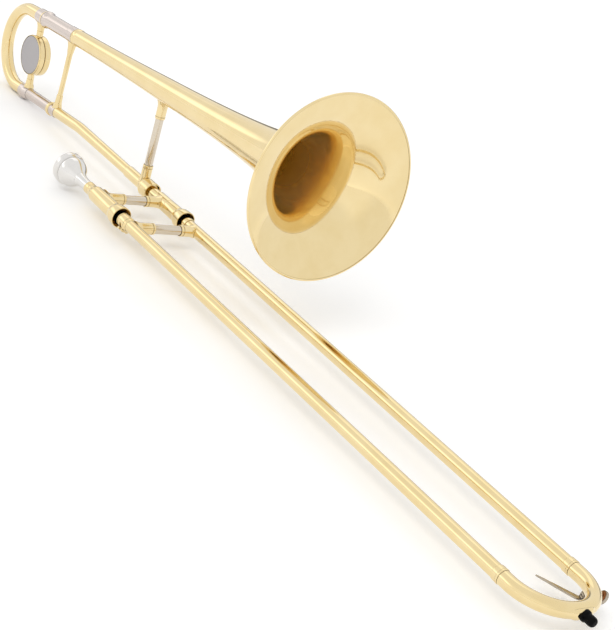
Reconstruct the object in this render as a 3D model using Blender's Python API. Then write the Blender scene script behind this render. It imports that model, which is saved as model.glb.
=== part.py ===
# Tenor trombone, built as separate pieces at real size.
# Metres, +Z up. The slide tubes run along X with the bow at the +X end, side by side
# in a level plane, and the bell section stands over them in a nearly upright plane.
# The origin is under the middle of the whole instrument, on the surface it lies on.

import math

import bmesh
import bpy
from mathutils import Matrix, Vector

# Clearances
SEAT_GAP = 0.0003
RUNNING_GAP = 0.0003
EDGE_CHAMFER = 0.0004

# Smoothness of the turned pieces
TUBE_SIDES = 18
PIPE_SIDES = 18
TURNED_SIDES = 22
BELL_SIDES = 40
DRUM_SIDES = 32

# Slide tubes
SLIDE_SPACING = 0.0820
STOCKING_RADIUS = 0.00610
STOCKING_STEP = 0.00010
STOCKING_LENGTH = 0.105
INNER_TUBE_WALL = 0.00035
INNER_TUBE_SETBACK = 0.0175
OUTER_TUBE_WALL = 0.00035
OUTER_TUBE_REACH = 0.6395
OUTER_TUBE_TAIL = 0.0160
SLEEVE_WALL = 0.00055
UPPER_SLEEVE_REACH = 0.0042
LOWER_SLEEVE_REACH = 0.0090
SLEEVE_TAIL = 0.0130

# Cork barrels
BARREL_LENGTH = 0.0165
BARREL_MOUTH_RADIUS = 0.0118
BARREL_SHOULDER_RADIUS = 0.0114
BARREL_HOLE_RADIUS = 0.0106
BARREL_HOLE_DEPTH = 0.0125
BARREL_STEP = 0.0003
BARREL_FLARE = 0.0060
SHEATH_WALL = 0.0005
BUMPER_CORK_LENGTH = 0.0070
BUMPER_CORK_CLEARANCE = 0.0003

# Mouthpiece side of the inner slide
UPPER_SHEATH_RADIUS = 0.0092
UPPER_SHEATH_LENGTH = 0.0415
RECEIVER_CONE_LENGTH = 0.0100
RECEIVER_COLLAR_LENGTH = 0.0080
RECEIVER_COLLAR_RADIUS = 0.0069
RECEIVER_SPIGOT_LENGTH = 0.0100
TUBE_SOCKET_DEPTH = 0.0050
LEADPIPE_WALL = 0.0004
LEADPIPE_LENGTH = 0.1750

# Mouthpiece
SHANK_LENGTH = 0.0220
SHANK_TIP_RADIUS = 0.0052
SHANK_TOP_RADIUS = 0.00575
MOUTHPIECE_HEAD_LENGTH = 0.0542
MOUTHPIECE_RIM_RADIUS = 0.0187
RIM_BAND_STEP = 0.0020
CUP_INNER_RADIUS = 0.0127
CUP_DEPTH = 0.0220
THROAT_RADIUS = 0.0030
BACKBORE_RADIUS = 0.0042

# Bell side of the inner slide
LOWER_SHEATH_RADIUS = 0.0088
LOWER_SHEATH_LENGTH = 0.0205
T_COLLAR_RADIUS = 0.0086
T_COLLAR_LENGTH = 0.0230
TENON_RADIUS = 0.0071
TENON_EXPOSED = 0.0145
TENON_REACH_IN_SHEATH = 0.0040
TENON_WALL = 0.0007
THREAD_COLLAR_RADIUS = 0.0091
THREAD_COLLAR_LENGTH = 0.0062
THREAD_COLLAR_INSET = 0.0040
TENON_TAPER_LENGTH = 0.0340
TENON_TAPER_BASE_RADIUS = 0.0062
TENON_TAPER_TIP_RADIUS = 0.0058
TENON_BORE_RADIUS = 0.0052

# Lock nut and slide receiver
LOCK_NUT_LENGTH = 0.0155
LOCK_NUT_RADIUS = 0.0110
LOCK_NUT_LIP = 0.0024
LOCK_NUT_BORE_GAP = 0.0004
RETAINING_RING_LENGTH = 0.0024
RETAINING_RING_STEP = 0.0017
SLIDE_RECEIVER_RADIUS = 0.0073
SLIDE_RECEIVER_LENGTH = 0.0345
RECEIVER_FLARE_LENGTH = 0.0075
RECEIVER_FLARE_RADIUS = 0.0103

# Braces between the two slide tubes
BRACE_TUBE_RADIUS = 0.0052
BRACE_TUBE_WALL = 0.0006
BRACE_SEAT = 0.0080
SOCKET_WALL = 0.0007
SOCKET_FLOOR = 0.0012
SADDLE_SPREAD = 0.0013
SADDLE_RISE = 0.0040
INNER_BRACE_X = -0.0496
INNER_UPPER_SOCKET_LENGTH = 0.0210
INNER_LOWER_SOCKET_LENGTH = 0.0165
OUTER_BRACE_X = 0.0230
OUTER_UPPER_SOCKET_LENGTH = 0.0200
OUTER_LOWER_SOCKET_LENGTH = 0.0152
LOCK_STOP_LENGTH = 0.0045

# Bow, its ferrules, guard plate and rubber bumper
BOW_STRAIGHT = 0.0097
BOW_LEAD = 0.0072
BOW_RADIUS = 0.00705
BOW_WALL = 0.00045
BOW_FERRULE_LENGTH = 0.0075
BOW_FERRULE_WALL = 0.0004
BOW_FERRULE_BEAD = 0.0003
GUARD_THICKNESS = 0.0008
GUARD_HALF_WRAP = math.radians(46)
GUARD_HALF_SPREAD = math.radians(15)
BUMPER_RADIUS = 0.0045
BUMPER_LENGTH = 0.0105
BUMPER_TIP_RADIUS = 0.0022
BUMPER_BASE_RADIUS = 0.0054
BUMPER_BASE_HEIGHT = 0.0015
BUMPER_NUB_RADIUS = 0.0017
BUMPER_NUB_REACH = 0.0078

# Water key on the bow
KEY_BOW_ANGLE = math.radians(60)
KEY_HINGE_INSET = 0.0030
KEY_HINGE_DROP = 0.0107
KEY_NIPPLE_TILT = math.radians(20)
NIPPLE_RADIUS = 0.0034
NIPPLE_FOOT_RADIUS = 0.0041
NIPPLE_HEIGHT = 0.0026
DRAIN_RADIUS = 0.0015
KEY_CORK_RADIUS = 0.0050
KEY_CORK_THICKNESS = 0.0029
KEY_CUP_WALL = 0.0006
KEY_CUP_RIM_SETBACK = 0.0008
KEY_CUP_BACK = 0.0009
KEY_PIN_RADIUS = 0.0010
KEY_BARREL_RADIUS = 0.0024
KEY_BARREL_LEFT = -0.0043
KEY_BARREL_RIGHT = 0.0004
KEY_EAR_INNER = 0.0046
KEY_EAR_THICKNESS = 0.0012
KEY_EAR_RADIUS = 0.0026
KEY_SADDLE_BACK = 0.0020
KEY_SADDLE_FRONT = 0.0062
KEY_CUP_ARM_THICKNESS = 0.0013
KEY_FINGER_THICKNESS = 0.0024
KEY_FINGER_TIP_THICKNESS = 0.0010
KEY_FINGER_WIDTH = 0.0062
KEY_FINGER_TIP_WIDTH = 0.0020
KEY_CUP_ARM_WIDTH = 0.0044
SPRING_TURNS = 3
SPRING_COIL_RADIUS = 0.0022
SPRING_WIRE_RADIUS = 0.0003
SPRING_LENGTH = 0.0033

# Slide lock
LOCK_RING_START = 0.0045
LOCK_RING_END = 0.0159
LOCK_RING_WALL = 0.0007
LOCK_LUG_HEIGHT = 0.0025
LOCK_LUG_WIDTH = 0.0052
LOCK_LUG_ANGLE = math.radians(-115)
LOCK_LUG_MARGIN = 0.0014
LOCK_SLOT_START = 0.0096
LOCK_SLOT_WIDTH = 0.0040
LOCK_SLOT_SPAN = 0.0062
LOCK_SLOT_TURN = math.radians(-40)
LOCK_THROW = math.radians(40)
LOCK_HOOK_WIDTH = 0.0032
LOCK_HOOK_THICKNESS = 0.0014
LOCK_HOOK_CLEARANCE = 0.0005

# Bell section: its axis over the bell-side tube, lean and tilt
BELL_AXIS_HEIGHT = 0.1215
BELL_LEAN = math.radians(2.18)
BELL_TILT = math.radians(5.04)
NECK_BEND_STATION = -0.26615

# Bell
BELL_RIM_RADIUS = 0.0970
BELL_RIM_STATION = 0.2150
FLARE_LENGTH_SCALE = 0.0124
FLARE_POWER = 0.60
FLARE_START = -0.1000
BELL_TAIL_RADIUS = 0.0094
BELL_TAIL_STATION = -0.3115
BELL_TAIL_TAPER = 0.0080
BELL_WALL = 0.0006
RIM_WIRE_RADIUS = 0.0010
RIM_ROLL_TURN = math.radians(300)
BELL_STEM_STEPS = 3
BELL_FLARE_STEPS = 11

# Upper leg of the tuning slide
UPPER_INNER_LEG_RADIUS = 0.0084
UPPER_LEG_WALL = 0.0005
UPPER_LEG_START = -0.3915
UPPER_LEG_BEAD_RADIUS = 0.0109
UPPER_LEG_BEAD_LENGTH = 0.0050
STEP_FERRULE_START = -0.3270
STEP_FERRULE_WALL = 0.0004
TAIL_FERRULE_START = -0.3127
TAIL_FERRULE_END = -0.3035
TAIL_FERRULE_WALL = 0.0005
UPPER_INSERTION = 0.0500
LEG_RING_LENGTH = 0.0033
LEG_RING_WALL = 0.0008

# Lower leg of the tuning slide and the neckpipe
LOWER_INNER_LEG_RADIUS = 0.0064
LOWER_LEG_WALL = 0.0004
LOWER_LEG_START = -0.4006
LOWER_LEG_END = -0.3400
LOWER_INSERTION = 0.0500
NECK_BEAD_START = -0.3430
NECK_BEAD_RADIUS = 0.0088
NECK_FERRULE_START = -0.3370
NECK_FERRULE_END = -0.3250
NECK_FERRULE_WALL = 0.0004
NECKPIPE_REAR_RADIUS = 0.00690
NECKPIPE_FRONT_RADIUS = 0.00615
NECKPIPE_WALL = 0.0004
NECKPIPE_BEND_RADIUS = 0.1200
NECKPIPE_SEAT = 0.0125

# Tuning crook
CROOK_RADIUS = 0.00785
CROOK_WALL = 0.0005
CROOK_CENTRE_STATION = -0.4340
CROOK_FERRULE_SEAT = 0.0050
UPPER_CROOK_FERRULE_START = -0.4100
LOWER_CROOK_FERRULE_START = -0.4195
CROOK_FERRULE_RADIUS = 0.0094

# Counterweight inside the crook
DRUM_STATION = -0.4045
DRUM_RADIUS = 0.0250
DRUM_THICKNESS = 0.0165
DRUM_GROOVE = 0.0006
DISC_RADIUS = 0.0233
DISC_THICKNESS = 0.0009
POST_RADIUS = 0.0042
POST_TOP_RADIUS = 0.0048
POST_FOOT_RADIUS = 0.0056
UPPER_POST_STATION = -0.4042
LOWER_POST_STATION = -0.4070

# Bell braces
FRONT_BRACE_X = -0.0962
FRONT_BRACE_STATION = -0.1007
FRONT_LOWER_SOCKET_LENGTH = 0.0170
FRONT_UPPER_SOCKET_LENGTH = 0.0195
FRONT_BRACE_TUBE_RADIUS = 0.0047
REAR_BRACE_UPPER_STATION = -0.3205
REAR_BRACE_LOWER_STATION = -0.3290
REAR_BRACE_RADIUS = 0.0031
REAR_BRACE_TOP_RADIUS = 0.0052
REAR_BRACE_FOOT_RADIUS = 0.0054
REAR_BRACE_SOCKET_RADIUS = 0.0039

# Radii that follow from fits
inner_tube_radius = STOCKING_RADIUS - STOCKING_STEP
outer_tube_bore = STOCKING_RADIUS + RUNNING_GAP
outer_tube_radius = outer_tube_bore + OUTER_TUBE_WALL
over_outer_tube = outer_tube_radius + SEAT_GAP
over_inner_tube = inner_tube_radius + SEAT_GAP
inner_tube_bore = inner_tube_radius - INNER_TUBE_WALL
sleeve_radius = over_outer_tube + SLEEVE_WALL
socket_radius = BRACE_TUBE_RADIUS + SEAT_GAP + SOCKET_WALL
front_socket_radius = FRONT_BRACE_TUBE_RADIUS + SEAT_GAP + SOCKET_WALL
over_tenon = TENON_RADIUS + SEAT_GAP
upper_leg_radius = UPPER_INNER_LEG_RADIUS + RUNNING_GAP + UPPER_LEG_WALL
lower_leg_radius = LOWER_INNER_LEG_RADIUS + RUNNING_GAP + LOWER_LEG_WALL
lock_ring_radius = over_outer_tube + LOCK_RING_WALL

# Stations along the mouthpiece side, measured back from the barrel mouth
upper_sheath_start = -BARREL_LENGTH - UPPER_SHEATH_LENGTH
receiver_cone_start = upper_sheath_start - RECEIVER_CONE_LENGTH
receiver_start = receiver_cone_start - RECEIVER_COLLAR_LENGTH
shank_tip = receiver_start + SHANK_LENGTH
receiver_end = upper_sheath_start + RECEIVER_SPIGOT_LENGTH
upper_tube_start = receiver_end - TUBE_SOCKET_DEPTH

# Stations along the bell side, measured back from the barrel mouth
t_collar_end = -BARREL_LENGTH - LOWER_SHEATH_LENGTH
t_collar_start = t_collar_end - T_COLLAR_LENGTH
nut_mouth = t_collar_start - TENON_EXPOSED
nut_back = nut_mouth - LOCK_NUT_LENGTH
thread_end = nut_mouth - THREAD_COLLAR_INSET
thread_start = thread_end - THREAD_COLLAR_LENGTH
slide_receiver_end = nut_back + LOCK_NUT_LIP + SEAT_GAP + RETAINING_RING_LENGTH
flare_end = nut_back - SEAT_GAP
flare_start = flare_end - RECEIVER_FLARE_LENGTH
slide_receiver_start = flare_start - SLIDE_RECEIVER_LENGTH
tenon_tip = slide_receiver_end - TENON_TAPER_LENGTH
neckpipe_front = slide_receiver_start + NECKPIPE_SEAT
tenon_end = t_collar_end + TENON_REACH_IN_SHEATH
lower_tube_start = t_collar_start - TUBE_SOCKET_DEPTH

bow_arc_radius = SLIDE_SPACING / 2
bow_centre_x = OUTER_TUBE_REACH + BOW_STRAIGHT
inner_tube_reach = OUTER_TUBE_REACH - INNER_TUBE_SETBACK

# The lower leg's line meets the slide tube's axis where the neckpipe bends.
leg_spacing = (BELL_AXIS_HEIGHT + NECK_BEND_STATION * math.sin(BELL_TILT)) / math.cos(BELL_TILT)
crook_arc_radius = leg_spacing / 2


# Scene helpers

def clear_scene():
    for old in list(bpy.data.objects):
        bpy.data.objects.remove(old, do_unlink=True)


def linear(value):
    if value <= 0.04045:
        return value / 12.92
    return ((value + 0.055) / 1.055) ** 2.4


def material(name, red, green, blue, roughness, metallic):
    mat = bpy.data.materials.new(name)
    mat.use_nodes = True
    shader = mat.node_tree.nodes["Principled BSDF"]
    colour = (linear(red / 255), linear(green / 255), linear(blue / 255), 1.0)
    shader.inputs["Base Color"].default_value = colour
    shader.inputs["Roughness"].default_value = roughness
    shader.inputs["Metallic"].default_value = metallic
    mat.diffuse_color = colour
    return mat


def empty(name, parent=None, location=(0, 0, 0), rotation=(0, 0, 0)):
    frame = bpy.data.objects.new(name, None)
    frame.empty_display_size = 0.01
    frame.location = location
    frame.rotation_euler = rotation
    frame.parent = parent
    bpy.context.collection.objects.link(frame)
    return frame


def finish(name, bm, mat, parent=None, location=(0, 0, 0), rotation=(0, 0, 0)):
    bmesh.ops.remove_doubles(bm, verts=bm.verts, dist=1e-7)
    bmesh.ops.recalc_face_normals(bm, faces=bm.faces)
    mesh = bpy.data.meshes.new(name)
    bm.to_mesh(mesh)
    bm.free()
    if mat is not None:
        mesh.materials.append(mat)
    mesh.shade_smooth()
    mesh.set_sharp_from_angle(angle=math.radians(38))
    obj = bpy.data.objects.new(name, mesh)
    obj.location = location
    obj.rotation_euler = rotation
    obj.parent = parent
    bpy.context.collection.objects.link(obj)
    return obj


def hide_tool(obj):
    obj.hide_render = True
    obj.display_type = "WIRE"
    return obj


def combine(obj, other, operation):
    step = obj.modifiers.new(operation.title(), "BOOLEAN")
    step.operation = operation
    step.solver = "EXACT"
    step.object = hide_tool(other)


def cut(obj, other):
    combine(obj, other, "DIFFERENCE")


def join(obj, other):
    combine(obj, other, "UNION")


# Shape helpers: a turned shape runs along its own X axis

def revolve(name, profile, mat=None, parent=None, location=(0, 0, 0), rotation=(0, 0, 0),
            sides=TUBE_SIDES, closed=True):
    """Turn a profile of (x, radius) points about X; closed=False starts and ends on the axis."""
    bm = bmesh.new()
    points = [bm.verts.new((x, 0.0, radius)) for x, radius in profile]
    count = len(points)
    edges = [bm.edges.new((points[i], points[i + 1])) for i in range(count - 1)]
    if closed:
        edges.append(bm.edges.new((points[-1], points[0])))
    bmesh.ops.spin(bm, geom=points + edges, axis=(1, 0, 0), cent=(0, 0, 0),
                   angle=2 * math.pi, steps=sides, use_merge=True)
    bmesh.ops.remove_doubles(bm, verts=bm.verts, dist=1e-6)
    return finish(name, bm, mat, parent, location, rotation)


def tube_profile(start, end, bore, radius, chamfer=0.0):
    if chamfer <= 0:
        return [(start, bore), (start, radius), (end, radius), (end, bore)]
    return [(start, bore), (start, radius - chamfer), (start + chamfer, radius),
            (end - chamfer, radius), (end, radius - chamfer), (end, bore)]


def rod_profile(start, end, radius, chamfer=0.0):
    if chamfer <= 0:
        return [(start, 0.0), (start, radius), (end, radius), (end, 0.0)]
    return [(start, 0.0), (start, radius - chamfer), (start + chamfer, radius),
            (end - chamfer, radius), (end, radius - chamfer), (end, 0.0)]


def pipe(name, stations, mat=None, parent=None, sides=PIPE_SIDES, hollow=True):
    """Pipe through (centre, sideways, normal, radius, bore) stations; normal is out of plane."""
    bm = bmesh.new()
    outer = []
    inner = []
    for centre, sideways, normal, radius, bore in stations:
        ring = []
        hole = []
        for i in range(sides):
            turn = 2 * math.pi * i / sides
            ray = sideways * math.cos(turn) + normal * math.sin(turn)
            ring.append(bm.verts.new(centre + ray * radius))
            if hollow:
                hole.append(bm.verts.new(centre + ray * bore))
        outer.append(ring)
        inner.append(hole)
    for skin in ([outer, inner] if hollow else [outer]):
        for ring_a, ring_b in zip(skin[:-1], skin[1:]):
            for i in range(sides):
                j = (i + 1) % sides
                bm.faces.new((ring_a[i], ring_a[j], ring_b[j], ring_b[i]))
    for end in (0, -1):
        if hollow:
            for i in range(sides):
                j = (i + 1) % sides
                bm.faces.new((outer[end][i], outer[end][j], inner[end][j], inner[end][i]))
        else:
            bm.faces.new(outer[end])
    return finish(name, bm, mat, parent)


def box(name, low, high, parent=None, rotation=(0, 0, 0), location=(0, 0, 0), mat=None,
        bevel=0.0):
    bm = bmesh.new()
    size = Vector(high) - Vector(low)
    middle = (Vector(high) + Vector(low)) / 2
    fit = Matrix.Translation(middle) @ Matrix.Diagonal((*size, 1.0))
    bmesh.ops.create_cube(bm, size=1.0, matrix=fit)
    if bevel > 0:
        bmesh.ops.bevel(bm, geom=bm.edges[:], offset=bevel, segments=1, affect="EDGES")
    return finish(name, bm, mat, parent, location, rotation)


def bow_station(angle, radius, bore):
    """Station on the bow's arc: angle 0 points along +X, 90 degrees is the bell-side tube."""
    ray = Vector((math.cos(angle), math.sin(angle), 0))
    centre = Vector((bow_centre_x, -bow_arc_radius, 0)) + ray * bow_arc_radius
    return centre, ray, Vector((0, 0, 1)), radius, bore


def bow_cutter(name, radius, middle, half_spread, steps=4, sides=24):
    angles = [middle - half_spread + 2 * half_spread * i / steps for i in range(steps + 1)]
    stations = [bow_station(a, radius, 0) for a in angles]
    return hide_tool(pipe(name, stations, None, frame, sides, hollow=False))


def socket_profile(tube_radius, length, flare_radius, spread=SADDLE_SPREAD, barrel_radius=socket_radius):
    """Solid brace socket from inside the tube it stands on, out along its own X axis."""
    foot = tube_radius * 0.5
    wide = flare_radius + spread
    rise = tube_radius + SADDLE_RISE
    span = rise - foot
    profile = [(foot, 0.0), (foot, wide)]
    for part in (0.35, 0.6, 0.8):
        ease = (1 - part) ** 2
        profile.append((foot + span * part, barrel_radius + (wide - barrel_radius) * ease))
    profile.append((rise, barrel_radius))
    end = tube_radius + length
    profile.append((end - EDGE_CHAMFER, barrel_radius))
    profile.append((end, barrel_radius - EDGE_CHAMFER))
    profile.append((end, 0.0))
    return profile


def socket(name, tube_radius, length, mat, parent, location, rotation, cover=None, spread=SADDLE_SPREAD,
           brace_radius=BRACE_TUBE_RADIUS):
    """Brace socket with a saddle cut to the tube of tube_radius and a bore for the brace tube."""
    barrel_radius = brace_radius + SEAT_GAP + SOCKET_WALL
    obj = revolve(name, socket_profile(tube_radius, length, tube_radius * 0.93, spread, barrel_radius),
                  mat, parent, location, rotation, closed=False)
    bore = revolve(name + "_bore", rod_profile(tube_radius + SOCKET_FLOOR, tube_radius + length + 0.002,
                                               brace_radius + SEAT_GAP),
                   None, parent, location, rotation, closed=False)
    if cover is not None:
        cut(obj, cover)
    cut(obj, bore)
    return obj


def brace_tube(name, length, mat, parent, location, rotation, radius=BRACE_TUBE_RADIUS):
    """Plain brace tube whose ends sit BRACE_SEAT deep in their sockets."""
    profile = tube_profile(-BRACE_SEAT, length + BRACE_SEAT, radius - BRACE_TUBE_WALL, radius)
    return revolve(name, profile, mat, parent, location, rotation)


# Directions of a turned shape's own X axis
TO_BELL_SIDE = (0, 0, math.radians(90))
TO_MOUTHPIECE_SIDE = (0, 0, math.radians(-90))


# Inner slide

def build_mouthpiece():
    head = receiver_start - MOUTHPIECE_HEAD_LENGTH
    rim = MOUTHPIECE_RIM_RADIUS
    cup = CUP_INNER_RADIUS
    throat = head + CUP_DEPTH
    entry = receiver_start
    outside = [
        (head + 0.0002, rim - 0.0030), (head + 0.0009, rim - 0.0008), (head + 0.0024, rim),
        (head + 0.0078, rim), (head + 0.0090, rim - RIM_BAND_STEP),
        (head + 0.0130, rim - RIM_BAND_STEP + 0.0002),
        (head + 0.0175, rim - 0.0024), (head + 0.0215, rim - 0.0042), (head + 0.0255, rim - 0.0067),
        (head + 0.0290, rim - 0.0092), (entry - 0.0220, SHANK_TOP_RADIUS + 0.0022),
        (entry - 0.0190, SHANK_TOP_RADIUS + 0.0014), (entry - 0.0120, SHANK_TOP_RADIUS + 0.0008),
        (entry - 0.0060, SHANK_TOP_RADIUS + 0.0005),
        (entry - 0.0020, SHANK_TOP_RADIUS + 0.0003), (entry, SHANK_TOP_RADIUS),
        (shank_tip, SHANK_TIP_RADIUS)]
    inside = [
        (shank_tip, BACKBORE_RADIUS), (throat + 0.0050, THROAT_RADIUS), (throat, THROAT_RADIUS),
        (throat - 0.0020, THROAT_RADIUS + 0.0011), (throat - 0.0060, cup * 0.62),
        (throat - 0.0115, cup * 0.87), (head + 0.0040, cup), (head + 0.0012, cup + 0.0004),
        (head, cup + 0.0018)]
    return revolve("mouthpiece", outside + inside, SILVER, mouthpiece_side, sides=TURNED_SIDES)


def build_mouthpiece_receiver():
    collar = RECEIVER_COLLAR_RADIUS
    spigot = UPPER_SHEATH_RADIUS - SHEATH_WALL - SEAT_GAP
    seat = upper_tube_start - SEAT_GAP
    profile = [
        (receiver_start, SHANK_TOP_RADIUS + SEAT_GAP), (receiver_start, collar - EDGE_CHAMFER),
        (receiver_start + EDGE_CHAMFER, collar), (receiver_cone_start, collar),
        (receiver_cone_start + RECEIVER_CONE_LENGTH * 0.35, collar + 0.0004),
        (receiver_cone_start + RECEIVER_CONE_LENGTH * 0.75, UPPER_SHEATH_RADIUS - 0.0006),
        (upper_sheath_start - SEAT_GAP, UPPER_SHEATH_RADIUS),
        (upper_sheath_start - SEAT_GAP, spigot), (receiver_end, spigot),
        (receiver_end, over_inner_tube), (seat, over_inner_tube),
        (seat, SHANK_TIP_RADIUS + SEAT_GAP), (shank_tip, SHANK_TIP_RADIUS + SEAT_GAP)]
    return revolve("mouthpiece_receiver", profile, BRASS, mouthpiece_side)


def build_leadpipe():
    radius = inner_tube_bore - SEAT_GAP
    profile = tube_profile(upper_tube_start, upper_tube_start + LEADPIPE_LENGTH,
                           radius - LEADPIPE_WALL, radius)
    return revolve("leadpipe", profile, BRASS, mouthpiece_side, sides=TUBE_SIDES)


def inner_tube(name, start, parent):
    stocking = inner_tube_reach - STOCKING_LENGTH
    profile = [
        (start, inner_tube_bore), (start, inner_tube_radius), (stocking, inner_tube_radius),
        (stocking + 0.003, STOCKING_RADIUS), (inner_tube_reach - 0.001, STOCKING_RADIUS),
        (inner_tube_reach, STOCKING_RADIUS - 0.00015), (inner_tube_reach, inner_tube_bore)]
    return revolve(name, profile, NICKEL, parent)


def sheath(name, start, end, radius, neck_bore, parent):
    bore = radius - SHEATH_WALL
    if neck_bore >= bore:
        profile = tube_profile(start, end, bore, radius)
    else:
        neck = tenon_end + SEAT_GAP
        profile = [(start, neck_bore), (start, radius), (end, radius), (end, bore),
                   (neck + 0.001, bore), (neck, neck_bore)]
    return revolve(name, profile, BRASS, parent)


def barrel(name, sheath_radius, parent):
    start = -BARREL_LENGTH
    tail = sheath_radius + BARREL_STEP
    bore = sheath_radius - SHEATH_WALL
    flare = start + BARREL_FLARE
    profile = [
        (start, bore), (start, tail), (start + 0.0010, tail + 0.0001),
        (start + BARREL_FLARE * 0.5, (tail + BARREL_SHOULDER_RADIUS) / 2),
        (flare, BARREL_SHOULDER_RADIUS), (-0.0012, BARREL_MOUTH_RADIUS),
        (0.0, BARREL_MOUTH_RADIUS - EDGE_CHAMFER), (0.0, BARREL_HOLE_RADIUS),
        (-BARREL_HOLE_DEPTH, BARREL_HOLE_RADIUS), (-BARREL_HOLE_DEPTH - 0.0020, bore)]
    return revolve(name, profile, BRASS, parent, sides=TURNED_SIDES)


def barrel_cork(name, sheath_radius, parent):
    end = -OUTER_TUBE_TAIL - SEAT_GAP
    radius = sheath_radius - SHEATH_WALL - BUMPER_CORK_CLEARANCE
    profile = tube_profile(end - BUMPER_CORK_LENGTH, end, over_inner_tube, radius)
    return revolve(name, profile, CORK, parent)


def build_lock_hook(target):
    """Hook on the upper barrel that the turned lug of the lock ring catches."""
    bottom = BARREL_HOLE_RADIUS + LOCK_HOOK_CLEARANCE * 0.5
    top = BARREL_MOUTH_RADIUS + LOCK_HOOK_CLEARANCE
    reach = LOCK_SLOT_START + LOCK_SLOT_WIDTH - LOCK_HOOK_CLEARANCE
    toe_start = LOCK_SLOT_START + LOCK_HOOK_CLEARANCE
    toe_tip = lock_ring_radius + 0.0002 + LOCK_HOOK_CLEARANCE
    half = LOCK_HOOK_WIDTH / 2
    angle = LOCK_LUG_ANGLE + LOCK_THROW
    turn = (angle, 0, 0)
    arm = box("lock_hook_arm", (-BARREL_HOLE_DEPTH * 0.5, bottom, -half), (reach, top, half),
              mouthpiece_side, turn)
    toe = box("lock_hook_toe", (toe_start, toe_tip, -half), (reach, bottom + 0.0002, half),
              mouthpiece_side, turn)
    join(target, arm)
    join(target, toe)


def build_t_collar():
    """Lower socket of the inner brace with the collar that is one casting with it."""
    obj = revolve("inner_brace_socket_lower",
                  rod_profile(t_collar_start, t_collar_end - SEAT_GAP, T_COLLAR_RADIUS, EDGE_CHAMFER),
                  BRASS, frame, closed=False)
    stub = revolve("t_stub", socket_profile(T_COLLAR_RADIUS, INNER_LOWER_SOCKET_LENGTH,
                                            T_COLLAR_RADIUS * 0.62),
                   None, frame, (INNER_BRACE_X, 0, 0), TO_MOUTHPIECE_SIDE, sides=26, closed=False)
    # The bore is turned a little so that its corners don't line up with the collar's.
    bore = revolve("t_bore", rod_profile(t_collar_start - 0.002, t_collar_end + 0.002, over_tenon),
                   None, frame, rotation=(math.radians(5), 0, 0), sides=24, closed=False)
    hole = revolve("t_socket_bore", rod_profile(T_COLLAR_RADIUS + SOCKET_FLOOR,
                                                T_COLLAR_RADIUS + INNER_LOWER_SOCKET_LENGTH + 0.002,
                                                BRACE_TUBE_RADIUS + SEAT_GAP),
                   None, frame, (INNER_BRACE_X, 0, 0), TO_MOUTHPIECE_SIDE, closed=False)
    join(obj, stub)
    cut(obj, bore)
    cut(obj, hole)
    return obj


def build_tenon():
    seat = lower_tube_start - SEAT_GAP
    profile = [
        (tenon_tip, TENON_BORE_RADIUS), (tenon_tip, TENON_TAPER_TIP_RADIUS),
        (thread_start, TENON_TAPER_BASE_RADIUS), (thread_start, THREAD_COLLAR_RADIUS - EDGE_CHAMFER),
        (thread_start + EDGE_CHAMFER, THREAD_COLLAR_RADIUS),
        (thread_end - EDGE_CHAMFER, THREAD_COLLAR_RADIUS),
        (thread_end, THREAD_COLLAR_RADIUS - EDGE_CHAMFER), (thread_end, TENON_RADIUS),
        (tenon_end, TENON_RADIUS), (tenon_end, over_inner_tube), (seat, over_inner_tube),
        (seat, inner_tube_bore), (thread_end, inner_tube_bore), (thread_start, TENON_BORE_RADIUS)]
    return revolve("slide_tenon", profile, BRASS, frame)


def tube_cover(name, radius, x, parent, reach=0.014):
    """Solid rod a little larger than a tube, for cutting a saddle to it."""
    profile = rod_profile(x - reach, x + reach, radius + SEAT_GAP)
    return hide_tool(revolve(name, profile, None, parent, closed=False, sides=24))


def build_inner_slide():
    build_mouthpiece()
    build_mouthpiece_receiver()
    build_leadpipe()
    inner_tube("inner_slide_tube_upper", upper_tube_start, mouthpiece_side)
    inner_tube("inner_slide_tube_lower", lower_tube_start, frame)
    sheath("receiver_sheath", upper_sheath_start, -BARREL_LENGTH - SEAT_GAP, UPPER_SHEATH_RADIUS,
           UPPER_SHEATH_RADIUS, mouthpiece_side)
    sheath("lower_sheath", t_collar_end, -BARREL_LENGTH - SEAT_GAP, LOWER_SHEATH_RADIUS,
           over_tenon, frame)
    upper = barrel("cork_barrel_upper", UPPER_SHEATH_RADIUS, mouthpiece_side)
    build_lock_hook(upper)
    barrel("cork_barrel_lower", LOWER_SHEATH_RADIUS, frame)
    barrel_cork("barrel_cork_upper", UPPER_SHEATH_RADIUS, mouthpiece_side)
    barrel_cork("barrel_cork_lower", LOWER_SHEATH_RADIUS, frame)
    build_tenon()
    build_t_collar()
    socket("inner_brace_socket_upper", UPPER_SHEATH_RADIUS, INNER_UPPER_SOCKET_LENGTH, BRASS,
           mouthpiece_side, (INNER_BRACE_X, 0, 0), TO_BELL_SIDE,
           tube_cover("inner_upper_cover", UPPER_SHEATH_RADIUS, INNER_BRACE_X, mouthpiece_side))
    start = UPPER_SHEATH_RADIUS + INNER_UPPER_SOCKET_LENGTH
    end = SLIDE_SPACING - T_COLLAR_RADIUS - INNER_LOWER_SOCKET_LENGTH
    brace_tube("inner_brace_tube", end - start, NICKEL, mouthpiece_side,
               (INNER_BRACE_X, start, 0), TO_BELL_SIDE)


# Outer slide

def outer_tube(name, parent):
    profile = tube_profile(-OUTER_TUBE_TAIL, OUTER_TUBE_REACH, outer_tube_bore, outer_tube_radius)
    return revolve(name, profile, BRASS, parent)


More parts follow.
